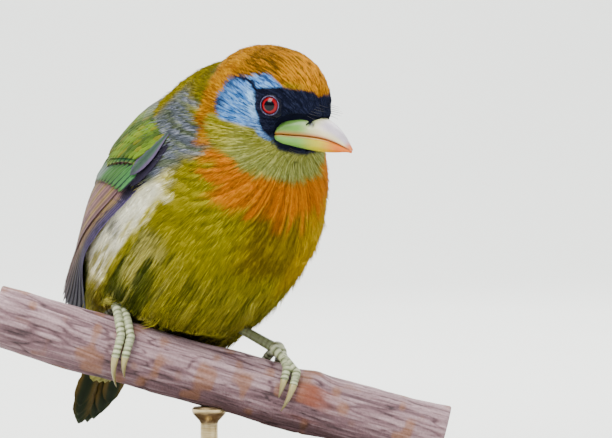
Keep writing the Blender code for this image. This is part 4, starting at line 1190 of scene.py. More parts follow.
def form_point(share, angle, grow=0.0):
    """A point on the wing form in the bird's own frame: angle 0 is its right side and 90 its back."""
    share = min(max(share, 0.01), 0.99)
    forward, up, wide, back, belly = along(WING_FORM, share)
    ahead = along(WING_FORM, share + 0.01)[:2] - along(WING_FORM, share - 0.01)[:2]
    ahead /= np.linalg.norm(ahead)
    turn = math.radians(angle)
    deep = (back if math.sin(turn) > 0 else belly) + grow
    return np.array((forward + ahead[1] * deep * math.sin(turn), -(wide + grow) * math.cos(turn),
                     up - ahead[0] * deep * math.sin(turn)))


def form_out(share, angle):
    """The way out of the wing form there."""
    across = form_point(share, angle + 2) - form_point(share, angle - 2)
    lengthwise = form_point(share + 0.01, angle) - form_point(share - 0.01, angle)
    out = np.cross(across, lengthwise)
    out /= np.linalg.norm(out)
    inside = form_point(share, angle, -8.0) - form_point(share, angle)
    return -out if out @ inside > 0 else out


def vane_width(wide, steps, neck=0.35, end=0.3, full=0.35, close=0.72):
    """Half widths along a feather: narrow at the root, full past the middle, rounded at the tip."""
    x = np.linspace(0, 1, steps)
    rounded = np.sqrt(np.clip(1 - (np.clip(x - close, 0, 1) / (1.0001 - close)) ** 2.4, 0.0, 1))
    return wide * (neck + (1 - neck) * step(0.0, full, x)) * np.maximum(rounded, end * (x < 0.999) + 0.06)


def make_vane(centres, outs, widths, tilt, camber, tones, seed, thickness=VANE_THICKNESS, ragged=0.10,
              shadow_stripe=0.0, edge_from=0.4):
    """One feather: points, quads, a colour a point and a UV a corner. Tones are inner, edge and tip."""
    centres, outs = np.asarray(centres, float), np.asarray(outs, float)
    steps = len(centres)
    ahead = np.gradient(centres, axis=0)
    across = np.cross(ahead, outs)
    across /= np.linalg.norm(across, axis=1)[:, None]
    outs = np.cross(across, ahead)
    outs /= np.linalg.norm(outs, axis=1)[:, None]
    turned = across * math.cos(tilt) + outs * math.sin(tilt)
    outs = outs * math.cos(tilt) - across * math.sin(tilt)
    # Across the vane from edge to edge, and along it from root to tip
    column = np.linspace(-1, 1, VANE_COLUMNS)[None]
    x = np.linspace(0, 1, steps)[:, None]
    widths = widths[:, None]
    outer = np.abs(column) * np.ones((steps, 1))
    local = np.random.default_rng(seed)
    edge_wear = 1 - ragged * local.random((steps, 2)) ** 2 * step(0.15, 0.5, x)
    wear = np.where(column < 0, edge_wear[:, :1], edge_wear[:, 1:])
    wide = widths * column * (1 + (wear - 1) * outer**3)
    lift = camber * widths * (1 - column**2)
    shaft = np.exp(-(column / 0.1) ** 2) * (1 - x) * 0.16
    sweep = ahead / np.linalg.norm(ahead, axis=1)[:, None]
    point_back = -(outer**2) * widths * 0.45 * step(0.5, 1.0, x)
    surface = centres[:, None] + turned[:, None] * wide[..., None] + sweep[:, None] * point_back[..., None]
    half_thick = thickness / 2 * (1 - 0.75 * outer**3) * (1 - 0.6 * step(0.85, 1, x))
    upper = surface + outs[:, None] * (lift + half_thick + shaft)[..., None]
    lower = surface + outs[:, None] * (lift - half_thick)[..., None]
    points = np.concatenate([upper.reshape(-1, 3), lower.reshape(-1, 3)])
    n, m = steps, VANE_COLUMNS
    i, j = np.meshgrid(np.arange(n - 1), np.arange(m - 1), indexing="ij")
    top = np.stack([i * m + j, i * m + j + 1, (i + 1) * m + j + 1, (i + 1) * m + j], -1).reshape(-1, 4)
    low = top[:, ::-1] + n * m
    rim = np.concatenate([np.arange(m), np.arange(1, n) * m + m - 1,
                          (n - 1) * m + np.arange(m - 2, -1, -1), np.arange(n - 2, 0, -1) * m])
    after = np.roll(rim, -1)
    side = np.stack([after, rim, rim + n * m, after + n * m], -1)
    faces = np.concatenate([top, low, side])
    inner, edge, end = tones
    grain = local.random((n, m)) * 0.12 + 0.94 - 0.3 * np.exp(-((column / 0.16) ** 2))
    tint = blended(step(edge_from, min(edge_from + 0.35, 1.0), outer), inner, edge)
    # A dark line part way out on each side of the shaft: painted shadow where the neighbouring feather's edge
    # lies over the vane.
    tint = tint * (1 - shadow_stripe * np.exp(-((outer - 0.4) / 0.14) ** 2))[..., None]
    # Feathers with the painted shadow line, the flight feathers, darken over more of their tip
    tip_from, tip_tone = (0.5, 0.95) if shadow_stripe else (0.8, 0.7)
    tint = blended(step(tip_from, 1.0, x) * np.ones((1, m)) * tip_tone, tint, end)
    tint = tint * grain[..., None]
    # The lower face takes the same colours at 0.6: painted shade under the vanes.
    tints = np.concatenate([tint.reshape(-1, 3), tint.reshape(-1, 3) * 0.6])
    uv = np.stack(np.broadcast_arrays(column * 0.5 + 0.5, x), -1).reshape(-1, 2)
    uvs = np.concatenate([uv, uv])[faces]
    spot = points[faces] - points[0]
    volume = sum(np.einsum("ij,ij->i", spot[:, 0], np.cross(spot[:, k], spot[:, k + 1])).sum()
                 for k in (1, 2))
    if volume < 0:
        faces, uvs = faces[:, ::-1], uvs[:, ::-1]
    return points, faces, tints, uvs


def form_feather(root, tip, wide, low, high, tones, seed, steps=22, bow=0.0, camber=0.07, tilt=WING_TILT,
                 **shape):
    """A feather on the wing form from root to tip, each a share and an angle, lifted from low to high."""
    centres, outs = [], []
    for x in np.linspace(0, 1, steps):
        share = root[0] + (tip[0] - root[0]) * x
        angle = root[1] + (tip[1] - root[1]) * x + bow * math.sin(math.pi * x)
        out = form_out(share, angle)
        centres.append(form_point(share, angle) + out * (low + (high - low) * x))
        outs.append(out)
    return make_vane(centres, outs, vane_width(wide, steps, **shape), tilt, camber, tones, seed)


def flight_feather(knots, wide, lifts, tones, seed, steps=34, **shape):
    """A long feather through knots from its root to its tip, each a share and an angle on the wing form."""
    ways = [form_out(*place) for place in knots]
    spots = [form_point(*place) + way * lift for place, way, lift in zip(knots, ways, lifts)]
    centres = [along(spots, x) for x in np.linspace(0, 1, steps)]
    outs = [along(ways, x) for x in np.linspace(0, 1, steps)]
    return make_vane(centres, outs, vane_width(wide, steps, **shape), WING_TILT, 0.07, tones, seed,
                     shadow_stripe=0.8, edge_from=0.8)


def bundle(name, feathers, finish, slot, mirrored, *nodes):
    """One object from vanes in the bird's own frame, or from their mirror image."""
    points, faces, tints, uvs = zip(*feathers)
    starts = np.cumsum([0] + [len(some) for some in points])
    faces = np.concatenate([some + start for some, start in zip(faces, starts)])
    points = np.concatenate(points) * np.array((1, -1 if mirrored else 1, 1)) @ body_turn.T + BODY_AT
    made = piece_from(name, points, faces, np.concatenate(tints), np.concatenate(uvs), "vane")
    return fitted(made, finish, slot, *nodes)


def worked_out(tree, operation, *values):
    """The result of one Math node on values or sockets."""
    return node(tree, "ShaderNodeMath", dict(enumerate(values)), operation=operation).outputs[0]


# Barbs: fine slanting lines from the shaft to the edge, on the vane's own UV
barb_effect, barb_in, barb_out = new_effect(
    "barbs", [("Lines", "NodeSocketFloat", 60.0), ("Slant", "NodeSocketFloat", 0.6)],
    [("Height", "NodeSocketFloat"), ("Tone", "NodeSocketFloat")])
barb_uv = node(barb_effect, "ShaderNodeUVMap", uv_map="vane")
barb_split = node(barb_effect, "ShaderNodeSeparateXYZ", {"Vector": barb_uv.outputs["UV"]})
barb_side = worked_out(barb_effect, "SUBTRACT", barb_split.outputs["X"], 0.5)
barb_away = worked_out(barb_effect, "ABSOLUTE", barb_side)
barb_slant = worked_out(barb_effect, "MULTIPLY", barb_away, barb_in.outputs["Slant"])
barb_run = worked_out(barb_effect, "SUBTRACT", barb_split.outputs["Y"], barb_slant)
barb_turns = worked_out(barb_effect, "MULTIPLY", barb_run, barb_in.outputs["Lines"])
barb_jitter = node(barb_effect, "ShaderNodeTexNoise", {"Scale": JITTER_SCALE, "Detail": 2.0})
barb_phase = worked_out(barb_effect, "MULTIPLY_ADD", barb_jitter.outputs["Fac"], JITTER, barb_turns)
barb_wave = worked_out(barb_effect, "SINE", barb_phase)
barb_height = node(barb_effect, "ShaderNodeMapRange", {"Value": barb_wave, "From Min": -1.0, "From Max": 1.0})
barb_effect.links.new(barb_height.outputs["Result"], barb_out.inputs["Height"])
barb_effect.links.new(barb_height.outputs["Result"], barb_out.inputs["Tone"])


def vane_finish(name, roughness, lines, slant):
    """Feather vanes: the piece's own colouring with fine barb lines in tone and height."""
    made, tree, shader = new_finish(name, roughness, more={"Sheen Weight": 0.01, "Sheen Roughness": 0.4,
                                                           "Specular IOR Level": 0.08})
    colouring = node(tree, "ShaderNodeAttribute", attribute_name="colouring").outputs["Color"]
    barbs = node(tree, "ShaderNodeGroup", node_tree=barb_effect)
    barbs.inputs["Lines"].default_value = lines
    barbs.inputs["Slant"].default_value = slant
    darker = mixed(tree, 1.0, colouring, (0.7, 0.7, 0.7, 1.0), "MULTIPLY")
    lined = mixed(tree, barbs.outputs["Tone"], darker, colouring)
    patchy = mixed(tree, 1.0, lined, (0.82, 0.82, 0.82, 1.0), "MULTIPLY")
    uneven = mottling(tree, 420.0, 4.0, 0.35, 0.65)
    tree.links.new(mixed(tree, uneven, patchy, lined), shader.inputs["Base Color"])
    roughened(tree, shader, barbs.outputs["Height"], 0.35, 0.00008)
    return made


wing_finish = vane_finish("wing_vanes", 0.55, 190.0, 0.25)
tail_finish = vane_finish("tail_vanes", 0.6, 230.0, 0.3)


def lifted(seed):
    """A small natural unevenness from one feather to the next, between -1 and 1."""
    return math.sin(12.9 * seed + 1.7)


def aslant(angle):
    """How much farther back a covert roots, the nearer it is to the wing's upper edge."""
    return 0.0042 * (min(angle, 38) - 8)


def wing_tiers():
    """The right wing's feathers by tier, from the lowest to the highest."""
    tiers = {}
    flight = []
    for i in range(10):
        x = i / 9
        knots = ((0.13 + 0.03 * x, 2 + 12 * x), (0.25 + 0.03 * x, 8.5 + 12 * x), (0.40, 15 + 14 * x),
                 (0.54, 13 + 21 * x), (0.74 + 0.28 * x - 0.18 * x * x + 0.003 * lifted(i), -32 + 66 * x))
        inner = blended(step(0.25, 0.7, x), FLIGHT_DARK * 1.4, FLIGHT_MAUVE)
        edge = blended(step(0.2, 0.5, x), FLIGHT_VIOLET, FLIGHT_EDGE * 0.8)
        end = blended(step(0.4, 1.0, x), FLIGHT_DARK, FLIGHT_MAUVE * 0.5)
        flight.append(flight_feather(knots, 2.7, (0.6, 0.8, 1.1, 1.4 + 0.2 * x, 1.1), (inner, edge, end),
                                     100 + i, full=0.3, close=0.88, end=0.6))
    tiers["primaries"] = flight
    flight = []
    for i in range(15):
        x = i / 14
        knots = ((0.15 + 0.03 * x, 12 + 36 * x), (0.27, 16 + 36 * x), (0.40, 22 + 37 * x),
                 (0.54, 27 + 38 * x), (0.80 - 0.12 * x + 0.008 * lifted(i + 9), 28 + 44 * x))
        inner = blended(step(0.4, 1.0, x), FLIGHT_MAUVE * (0.85 + 0.35 * (i % 2)), WING_MOSS)
        edge = blended(step(0.4, 1.0, x), FLIGHT_DARK * 2.0, WING_MOSS)
        if i % 3 == 1:
            inner = blended(0.55, inner, FLIGHT_EDGE)
        flight.append(flight_feather(knots, 1.7, (1.0, 1.4, 1.9, 2.1, 1.4), (inner, edge, FLIGHT_MAUVE * 0.4),
                                     120 + i, close=0.8))
    tiers["secondaries"] = flight
    # The coverts' rows run aslant, farther back toward the wing's upper edge
    coverts = []
    for i in range(15):
        x = i / 14
        angle = 9 + 50 * x
        slant = aslant(angle)
        tint = blended(0.15 + 0.6 * step(0.0, 0.5, x) * (0.5 + 0.5 * lifted(i)), WING_TEAL, WING_LIME)
        tint = tint * (0.85 + 0.25 * lifted(2 * i))
        tint = blended(0.6 * step(0.42, 0.6, x) * step(0.85, 0.65, x), tint, WING_LILAC)
        end = blended(step(0.2, 0.6, x), WING_MOSS, blended(0.5, FLIGHT_MAUVE, WING_LIME))
        # The edges are darker: painted shadow where the neighbouring coverts lie over them.
        edge = blended(step(0.4, 0.7, x), FLIGHT_DARK, tint * 0.5)
        tip = (0.235 + slant + 0.022 * lifted(i + 3), angle + 1.5)
        coverts.append(form_feather((0.14 + slant, angle - 1), tip, 1.75, 1.5, 2.7, (tint, edge, end),
                                    140 + i, 20))
    tiers["greater_coverts"] = coverts
    coverts = []
    for i in range(16):
        x = i / 15
        angle = 10 + 52 * x
        slant = aslant(angle)
        tint = blended(0.5 + 0.5 * lifted(2 * i + 1), WING_TEAL, WING_LIME) * (0.9 + 0.15 * lifted(3 * i))
        tip = (0.16 + slant + 0.018 * lifted(i + 5), angle + 1)
        # The edges, a darker copy of the colour, are painted shadow where the neighbours lie over them.
        tones = (tint, tint * 0.3, blended(0.4, tint, FLIGHT_EDGE))
        coverts.append(form_feather((0.075 + slant, angle - 1), tip, 1.7, 1.5, 2.1, tones, 160 + i, 16))
    tiers["median_coverts"] = coverts
    lesser = []
    for row in range(7):
        y = row / 6
        for i in range(17):
            x = (i + 0.5 * (row % 2)) / 16
            angle = 13 + 52 * x + 0.8 * lifted(i + 7 * row)
            # No root lies beyond the front end of the wing form
            share = max(0.012, 0.075 - 0.019 * row + aslant(angle) * (1 - 0.4 * y))
            tint = blended(0.5 + 0.5 * lifted(3 * i + row), WING_MOSS, WING_LIME)
            tint = blended(0.4 * step(0.75, 0.9, math.sin(5.1 * i + 2.3 * row)), tint, BACK_OLIVE)
            tint = blended(0.5 * step(0.45, 0.7, x) * step(0.5, 0.9, y), tint, WING_LILAC)
            # The edges, a darker copy of the colour, are painted shadow where the neighbours overlap.
            lesser.append(form_feather((share, angle), (share + 0.062, angle + 2), 1.25, 2.0 - 0.26 * row,
                                       2.9 - 0.24 * row, (tint, tint * 0.35, tint * 1.15), 200 + 20 * row + i,
                                       10, camber=0.16))
    tiers["lesser_coverts"] = lesser
    # The two feathers of the thumb; the lower one is painted dark all over, a painted shadow beneath the
    # upper one
    alula = []
    inner = blended(0.35, ALULA_GREEN * 0.5, ALULA_PURPLE * 0.6)
    for i, (low, high, wide, tones) in enumerate((
            (9.0, 6.0, 2.0, (FLIGHT_DARK, FLIGHT_DARK * 1.6, FLIGHT_DARK)),
            (14.5, 9.5, 2.5, (inner, ALULA_PURPLE * 0.8, ALULA_PURPLE * 0.45)))):
        alula.append(form_feather((0.02, low), (0.21 - 0.02 * i, high), wide, 1.4 + 0.3 * i, 2.2 + 0.8 * i,
                                  tones, 300 + i, 22, -2.0, tilt=WING_TILT / 2,
                                  neck=0.3, full=0.6, close=0.66))
    tiers["alula"] = alula
    scapulars = []
    for row in range(4):
        for i in range(6):
            x = i / 5
            share = 0.26 - 0.05 * row + 0.006 * lifted(i + row)
            angle = 56 + 5 * row * 0.4 + 30 * x
            tint = blended(0.6 + 0.3 * lifted(i * 2 + row), BACK_OLIVE, BACK_GREEN) * 0.7
            lift = 0.2 * (3 - row)
            tip = (share + 0.17, angle + 3)
            tones = (tint * 0.75, tint, tint * 1.1)
            scapulars.append(form_feather((share, angle), tip, 3.0, 1.5 + lift, 2.0 + lift, tones,
                                          340 + 10 * row + i, 14, camber=0.12, tilt=WING_TILT / 2))
    tiers["scapulars"] = scapulars
    return tiers


def wing_bed(mirrored):
    """The arm and hand that the feathers root in, a thick lens of short down."""
    rows, columns = 22, 12
    rings = []
    for i in range(rows):
        x = i / (rows - 1)
        share = 0.11 + 0.37 * x
        low, high = 4.0 + 22.0 * x, 66.0 - 4.0 * x
        dome = math.sin(math.pi * (0.12 + 0.80 * x)) ** 0.7
        outer, inner = [], []
        for j in range(columns):
            y = j / (columns - 1)
            angle = low + (high - low) * y
            bulge = math.sin(math.pi * (0.08 + 0.84 * y)) ** 0.6
            outer.append(form_point(share, angle, 0.3 + 0.9 * dome * bulge))
            inner.append(form_point(share, angle, -0.4))
        rings.append(outer + inner[::-1])
    rings = np.array(rings) * np.array((1, -1 if mirrored else 1, 1))
    return closed_tube(rings @ body_turn.T + BODY_AT)


bed_finish = coloured_finish("wing_down", 0.85, 0.3, 2000.0, 0.4, 0.0002)
for side, mirrored in (("right", False), ("left", True)):
    bed = several(f"wing_bed_{side}", [wing_bed(mirrored)], [WING_SHADE])
    fitted(bed, bed_finish, "wing_feathers", f"wing_{side}")
    for tier, feathers in wing_tiers().items():
        bundle(f"{tier}_{side}", feathers, wing_finish, "wing_feathers", mirrored)


# Tail
# Ten stiff feathers in a closed fan, the middle pair on top, with short coverts over their roots.

TAIL_ROOT = np.array((-40.5, 0.0, 42.0))
TAIL_TIP = np.array((-55.0, 0.0, 13.0))
TAIL_GREEN = paint((54, 70, 38))
TAIL_BROWN = paint((150, 110, 48))
TAIL_EDGE = paint((92, 96, 44))
VENT_PALE = paint((170, 164, 88))
VENT_OLIVE = paint((110, 112, 58))
# The rings of coverts over the tail's roots: how far down, half width, half depth and length
TAIL_COVERTS = ((8.0, 8.6, 6.2, 11.0), (4.0, 9.8, 7.6, 10.0), (0.0, 10.6, 8.6, 10.0))

tail_way = (TAIL_TIP - TAIL_ROOT) / np.linalg.norm(TAIL_TIP - TAIL_ROOT)
tail_out = np.array((tail_way[2], 0.0, -tail_way[0]))


def tail_feather(rank, side, steps=24):
    """One of the ten, by its rank from the middle and its side, -1 or 1."""
    layer = tail_out * (1.9 - 0.85 * rank + (0.42 if side > 0 else 0.0))
    spread = side * (0.5 + 1.3 * rank)
    length = np.linalg.norm(TAIL_TIP - TAIL_ROOT) - 0.5 * rank * rank
    x = np.linspace(0, 1, steps)[:, None]
    centres = (TAIL_ROOT + tail_way * length * x + layer + np.array((0, spread, 0)) * (0.75 + 0.25 * x)
               - tail_out * 0.9 * np.sin(math.pi * x * 0.5))
    inner = blended(0.2 * rank, TAIL_GREEN, TAIL_GREEN * 0.7)
    tones = (inner, blended(0.5, TAIL_BROWN, TAIL_EDGE), TAIL_GREEN * 0.8)
    return make_vane(centres, np.repeat(tail_out[None], steps, 0), vane_width(3.9, steps, 0.5, close=0.8),
                     0.0, 0.04, tones, 400 + 2 * rank + (side > 0), 0.3, 0.16)


tail_fan = [tail_feather(rank, side) for rank in range(5) for side in (-1, 1)]
bundle("tail_fan", tail_fan, tail_finish, "tail_feathers", False, "tail")
coverts = []
for ring, (reach, wide, deep, long) in enumerate(TAIL_COVERTS):
    for i in range(16):
        a = 2 * math.pi * (i + 0.5 * ring) / 16
        x = np.linspace(0, 1, 12)[:, None]
        out = np.array((0, math.cos(a), 0)) + tail_out * math.sin(a)
        girth = np.array((0, wide * math.cos(a), 0)) + tail_out * deep * math.sin(a)
        start = TAIL_ROOT + tail_way * (reach - 3.0)
        centres = start + tail_way * long * x + girth * (1 - 0.42 * x)
        if math.sin(a) > -0.1:
            tint = blended(0.5 + 0.5 * lifted(i + ring), BACK_GREEN, TAIL_GREEN)
        else:
            tint = blended(0.5 + 0.4 * lifted(i), VENT_PALE, VENT_OLIVE)
        coverts.append(make_vane(centres, np.repeat(out[None], 12, 0), vane_width(2.6, 12), 0.0, 0.12,
                                 (tint * 0.8, tint, tint * 1.1), 440 + 20 * ring + i))
bundle("tail_coverts", coverts, tail_finish, "tail_feathers", False)


# Bill
# Stout, slightly hooked horn in two halves that meet at the gape, pale green at the base, ivory
# and yellow beyond, orange at the tip, with a nostril pit on each side and bristles at its base.

NOSTRIL_AT = (14.6, 3.6, -1.9)
BILL_STATIONS = 56
# Where the horn's colouring starts, and how long it is
GAPE_AT = 5.0
BILL_LENGTH = 22.4
HORN_GREEN = paint((98, 142, 62))
HORN_IVORY = paint((202, 192, 150))
HORN_RIDGE_HIGHLIGHT = paint((168, 158, 178))
HORN_YELLOW = paint((172, 160, 6))
HORN_ORANGE = paint((200, 98, 0))
TOMIUM_BROWN = paint((150, 72, 18))
BRISTLE = paint((26, 24, 26))


def bill_half(upper):
    """Rings of one half of the bill in the head's frame, with the colour of each point."""
    sections = np.array([along(HORN, i / (BILL_STATIONS - 1)) for i in range(BILL_STATIONS)])
    forward, wide, culmen, mouth, keel = sections.T
    turn = np.linspace(0, math.pi, 17)
    edge = mouth + (0.12 if upper else -0.12)
    far = culmen if upper else keel
    wide = wide if upper else wide - 0.35 * np.minimum(1.0, wide)
    flat = np.linspace(1, -1, 9)[1:-1]
    round_side = np.sign(np.cos(turn)) * np.abs(np.cos(turn)) ** 0.75
    round_up = np.sin(turn) ** 0.9
    sides = np.concatenate([round_side, -flat])
    rise = np.concatenate([round_up, np.zeros(len(flat))])
    y = wide[:, None] * sides[None]
    z = edge[:, None] + (far - edge)[:, None] * rise[None]
    z[:, len(turn):] += 0.25 * (far - edge)[:, None] * (1 - np.linspace(-1, 1, len(flat)) ** 2)[None] * 0.3
    x = np.broadcast_to(forward[:, None], y.shape).copy()
    points = np.stack([x, y, z], -1)
    if upper:
        pit = np.exp(-((x - NOSTRIL_AT[0]) / 0.85) ** 2 - ((z - NOSTRIL_AT[2]) / 0.62) ** 2)
        pit = pit * (np.abs(y) > 1.5)
        points[..., 1] -= np.sign(y) * 0.95 * pit
    else:
        pit = np.zeros_like(x)
    length = (x - GAPE_AT) / BILL_LENGTH
    up = rise[None] * np.ones_like(x)
    if upper:
        tint = blended(step(0.28, 0.62, length), HORN_GREEN, HORN_IVORY)
        # Lilac-grey along the top of the upper bill past its middle: painted highlight on the culmen's ridge.
        tint = blended(step(0.3, 0.8, up) * step(0.45, 0.62, length) * 0.85, tint, HORN_RIDGE_HIGHLIGHT)
        tint = blended(step(0.3, 0.0, up) * step(0.35, 0.6, length) * 0.75, tint, HORN_ORANGE)
        tint = blended(step(0.88, 0.98, length) * 0.9, tint, HORN_ORANGE)
        tint = blended(np.clip(pit * 1.6, 0, 1), tint, MASK)
    else:
        tint = blended(step(0.3, 0.6, length), HORN_GREEN * 1.1, HORN_YELLOW)
        tint = blended(step(0.55, 0.85, length), tint, HORN_ORANGE)
    tomium = step(0.2, 0.03, up) * step(1.02, 0.9, length)
    tint = blended(tomium * 0.85, tint, TOMIUM_BROWN)
    stained = ripple(points * np.array((0.35, 1, 1)), 1.1, 31)
    tint = tint * (0.9 + 0.16 * stained)[..., None]
    return points @ head_turn.T + HEAD_AT, tint


horn_finish = coloured_finish("bill_horn", 0.3, 0.12, 500.0, 0.06, 0.00006,
                              {"Specular IOR Level": 0.25, "Coat Weight": 0.1, "Coat Roughness": 0.25})
for name, upper in (("bill_upper_horn", True), ("bill_lower_horn", False)):
    rings, tint = bill_half(upper)
    closed = closed_tube(rings)
    tint = np.concatenate([tint[:1], tint, tint[-1:]])
    fitted(several(name, [closed], [tint]), horn_finish, "bill", "bill_upper" if upper else "bill_lower")

bristles = []
for side in (1, -1):
    for i in range(9):
        local = np.random.default_rng(500 + i)
        height = 3.6 - 0.7 * i if i < 6 else -10.6 - 0.5 * (i - 6)
        start = np.array((13.0, side * (5.0 - 1.2 * max(height - 1.0, 0.0)), height))
        if i >= 6:
            start = np.array((9.5, side * 4.0, height))
        spread = side * (0.35 + 0.3 * local.random())
        way = np.array((1.0, spread, 0.12 * (height > 0) - 0.1 * local.random()))
        long = 3.6 + 2.0 * local.random()
        x = np.linspace(0, 1, 9)[:, None]
        centres = start + way * long * x + np.array((0, -side * 1.6, 0.6 - 0.9 * local.random())) * x**2
        centres = centres @ head_turn.T + HEAD_AT
        bristles.append(tube_points(centres, 0.07 * (1 - x[:, 0]) + 0.015, 4))
bristle_finish = coloured_finish("bristles", 0.5, 0.1)
fitted(several("gape_bristles", bristles, [BRISTLE] * len(bristles)), bristle_finish, "head_plumage")


# Eyes
# Dark red irises with black pupils under a clear wet surface, each in a ring of lid skin beaded
# with pale lilac.

PUPIL_ANGLE = 26.0
IRIS_ANGLE = 42.0
# Height along the gaze and radius of the lid's ring, from the socket over the rim and out under the feathers
LID_PROFILE = ((1.4, 3.5), (2.2, 3.0), (2.62, 2.55), (2.84, 2.38), (2.95, 2.48), (2.93, 2.66), (2.70, 2.94),
               (2.24, 3.26), (1.5, 3.6), (0.7, 3.8), (0.3, 3.6))
BEADS = 40
BEAD_RING = 2.68
BEAD_HEIGHT = 2.92
AROUND_EYE = 48
LID_SKIN = paint((12, 14, 28))
BEAD_LILAC = paint((132, 116, 158))
IRIS_RED = (140, 4, 18)
IRIS_DARK = (80, 3, 10)
PUPIL_BLACK = (4, 4, 10)
EYE_RIM = (18, 12, 24)

eye_finish, tree, shader = new_finish("wet_eye", 0.12, more={"Specular IOR Level": 0.0, "Coat Weight": 0.35,
                                                             "Coat Roughness": 0.03})
eye_uv = node(tree, "ShaderNodeUVMap", uv_map="gaze")
eye_split = node(tree, "ShaderNodeSeparateXYZ", {"Vector": eye_uv.outputs["UV"]})
fibres = node(tree, "ShaderNodeTexNoise", {"Vector": eye_uv.outputs["UV"], "Scale": 40.0, "Detail": 4.0})
iris_tone = mixed(tree, fibres.outputs["Fac"], shade(IRIS_DARK), shade(IRIS_RED))
past_pupil, past_iris = (
    node(tree, "ShaderNodeMapRange", {"Value": eye_split.outputs["Y"], "From Min": low / 180,
                                      "From Max": high / 180}).outputs["Result"]
    for low, high in ((PUPIL_ANGLE - 1, PUPIL_ANGLE + 1), (IRIS_ANGLE - 3, IRIS_ANGLE + 2)))
ringed = mixed(tree, past_pupil, shade(PUPIL_BLACK), iris_tone)
tree.links.new(mixed(tree, past_iris, ringed, shade(EYE_RIM)), shader.inputs["Base Color"])
lid_finish = coloured_finish("lid_skin", 0.5, 0.2, 3000.0, 0.3, 0.0001, {"Specular IOR Level": 0.12})

for name, side in (("right", -1), ("left", 1)):
    centre = HEAD_AT + head_turn @ (np.array(EYE_AT) * np.array((1, side, 1)))
    out = head_turn @ (np.array(EYE_FACES) * np.array((1, side, 1)))
    out /= np.linalg.norm(out)
    frame_turn = np.array(Vector(out).to_track_quat("Z", "Y").to_matrix())
    polar = np.radians(np.concatenate([[0.5], np.arange(3, 180, 3), [179.5]]))
    around = np.linspace(0, 2 * math.pi, AROUND_EYE, endpoint=False)
    a, b = np.meshgrid(polar, around, indexing="ij")
    local = np.stack([np.sin(a) * np.cos(b), np.sin(a) * np.sin(b), np.cos(a)], -1) * EYE_RADIUS
    points = (local @ frame_turn.T + centre).reshape(-1, 3)
    faces = np.concatenate([grid_faces(len(polar), AROUND_EYE), end_fans(len(polar), AROUND_EYE, 0)])
    uv = np.stack([b / (2 * math.pi), a / math.pi], -1).reshape(-1, 2)
    eyeball = piece_from(f"eyeball_{name}", points, faces, None, uv[faces], "gaze")
    fitted(eyeball, eye_finish, "eye", f"eye_{name}")
    wave = 1 + 0.012 * np.cos(around * 13)
    rings = []
    for height, radius in LID_PROFILE:
        rings.append(np.stack([radius * np.cos(around) * wave, radius * np.sin(around) * wave,
                               np.full(AROUND_EYE, height)], -1) @ frame_turn.T + centre)
    # The lid's last ring joins its first
    lid_points = np.concatenate(rings)
    lid_faces = grid_faces(len(rings) + 1, AROUND_EYE) % len(lid_points)
    lid_tint = np.broadcast_to(LID_SKIN, lid_points.shape)
    fitted(piece_from(f"lids_{name}", lid_points, lid_faces, lid_tint), lid_finish, "head_plumage")
    tubes, tints = [], []
    for i in range(BEADS):
        turn = 2 * math.pi * i / BEADS
        size = 0.12 + 0.025 * math.sin(7.3 * i)
        spot = centre + frame_turn @ np.array((BEAD_RING * math.cos(turn), BEAD_RING * math.sin(turn),
                                               BEAD_HEIGHT))
        bead = np.linspace(-0.96, 0.96, 6)
        rings = tube_points(spot + bead[:, None] * out * size, size * np.sqrt(1 - bead**2), 8)
        tubes.append(closed_tube(rings))
        tints.append(BEAD_LILAC * (0.8 + 0.2 * math.sin(3.1 * i)))
    fitted(several(f"lid_beads_{name}", tubes, tints), lid_finish, "head_plumage")


# Table, backdrop, lights and camera
# A pale sweep of card under soft daylight from the upper left, with a little light from behind.

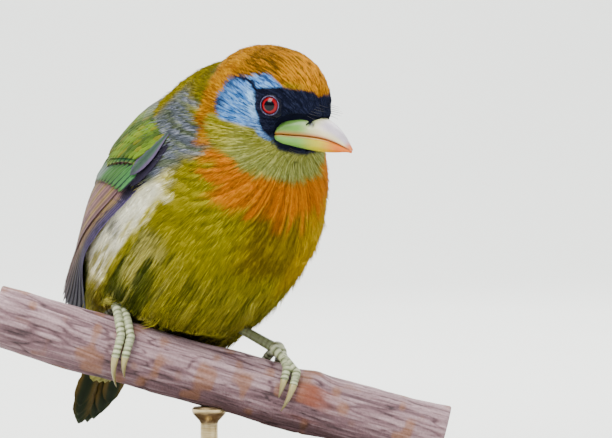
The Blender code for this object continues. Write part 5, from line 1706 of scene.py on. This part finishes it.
# The photo's size, how many of its points make a millimetre, and where in it the plan's zero lies
PHOTO_WIDTH, PHOTO_HEIGHT = 612, 438
SCALE = 3.5
ZERO_ACROSS, ZERO_DOWN = 230, 484
LOOK_AT = np.array((PHOTO_WIDTH / 2 - ZERO_ACROSS, 0.0, ZERO_DOWN - PHOTO_HEIGHT / 2)) / SCALE
DISTANCE = 1500.0
ELEVATION = math.radians(2.0)
SWEEP_WIDTH = 5.0
card, tree, shader = new_finish("pale_card", 0.9)
card_tone = mixed(tree, mottling(tree, 3.0, 2.0, 0.3, 0.7), shade((236, 238, 234)), shade((241, 243, 239)))
tree.links.new(card_tone, shader.inputs["Base Color"])
bend = [(1.2 + 0.6 * math.sin(a), 0.6 - 0.6 * math.cos(a)) for a in np.linspace(0, math.pi / 2, 16)]
profile = [(-2.5, 0.0), *bend, (1.8, 3.2)]
sweep_points = np.array([(x, y, z) for y, z in profile for x in (-SWEEP_WIDTH / 2, SWEEP_WIDTH / 2)])
sweep_points = sweep_points / MM - np.array(SHIFT)
sweep_faces = np.array([(2 * i, 2 * i + 1, 2 * i + 3, 2 * i + 2) for i in range(len(profile) - 1)])
sweep = piece_from("card_sweep", sweep_points, sweep_faces)
sweep.data.materials.append(card)


def soft_light(name, place, aim, size, power, colour):
    """A square lamp with its face to the aim, both in metres."""
    data = bpy.data.lights.new(name, "AREA")
    data.shape = "SQUARE"
    data.size = size
    data.energy = power
    data.color = colour
    lamp = bpy.data.objects.new(name, data)
    lamp.location = place
    lamp.rotation_euler = (Vector(aim) - Vector(place)).to_track_quat("-Z", "Y").to_euler()
    bpy.context.collection.objects.link(lamp)


aim = (0.0, 0.0, 0.07)
soft_light("key", (-0.55, -0.75, 1.0), aim, 0.8, 39.0, (1.0, 0.985, 0.95))
soft_light("fill", (0.9, -0.9, 0.45), aim, 1.2, 11.0, (0.96, 0.98, 1.0))
soft_light("rim", (0.35, 0.9, 0.9), aim, 0.7, 10.0, (1.0, 0.99, 0.97))
soft_light("backdrop", (0.0, 0.35, 1.6), (0.0, 1.6, 0.5), 1.6, 60.0, (1.0, 1.0, 1.0))
world = bpy.data.worlds.new("daylight")
world.use_nodes = True
world.node_tree.nodes["Background"].inputs["Color"].default_value = (0.9, 0.94, 1.0, 1.0)
world.node_tree.nodes["Background"].inputs["Strength"].default_value = 0.42
bpy.context.scene.world = world

camera = bpy.data.objects.new("camera", bpy.data.cameras.new("camera"))
bpy.context.collection.objects.link(camera)
camera.data.sensor_width = 36.0
camera.data.lens = 36.0 * DISTANCE / (PHOTO_WIDTH / SCALE)
look = (Vector(LOOK_AT) + SHIFT) * MM
away = Vector((0.0, -math.cos(ELEVATION), math.sin(ELEVATION)))
camera.location = look + away * (DISTANCE * MM)
camera.rotation_euler = (-away).to_track_quat("-Z", "Y").to_euler()
bpy.context.scene.camera = camera
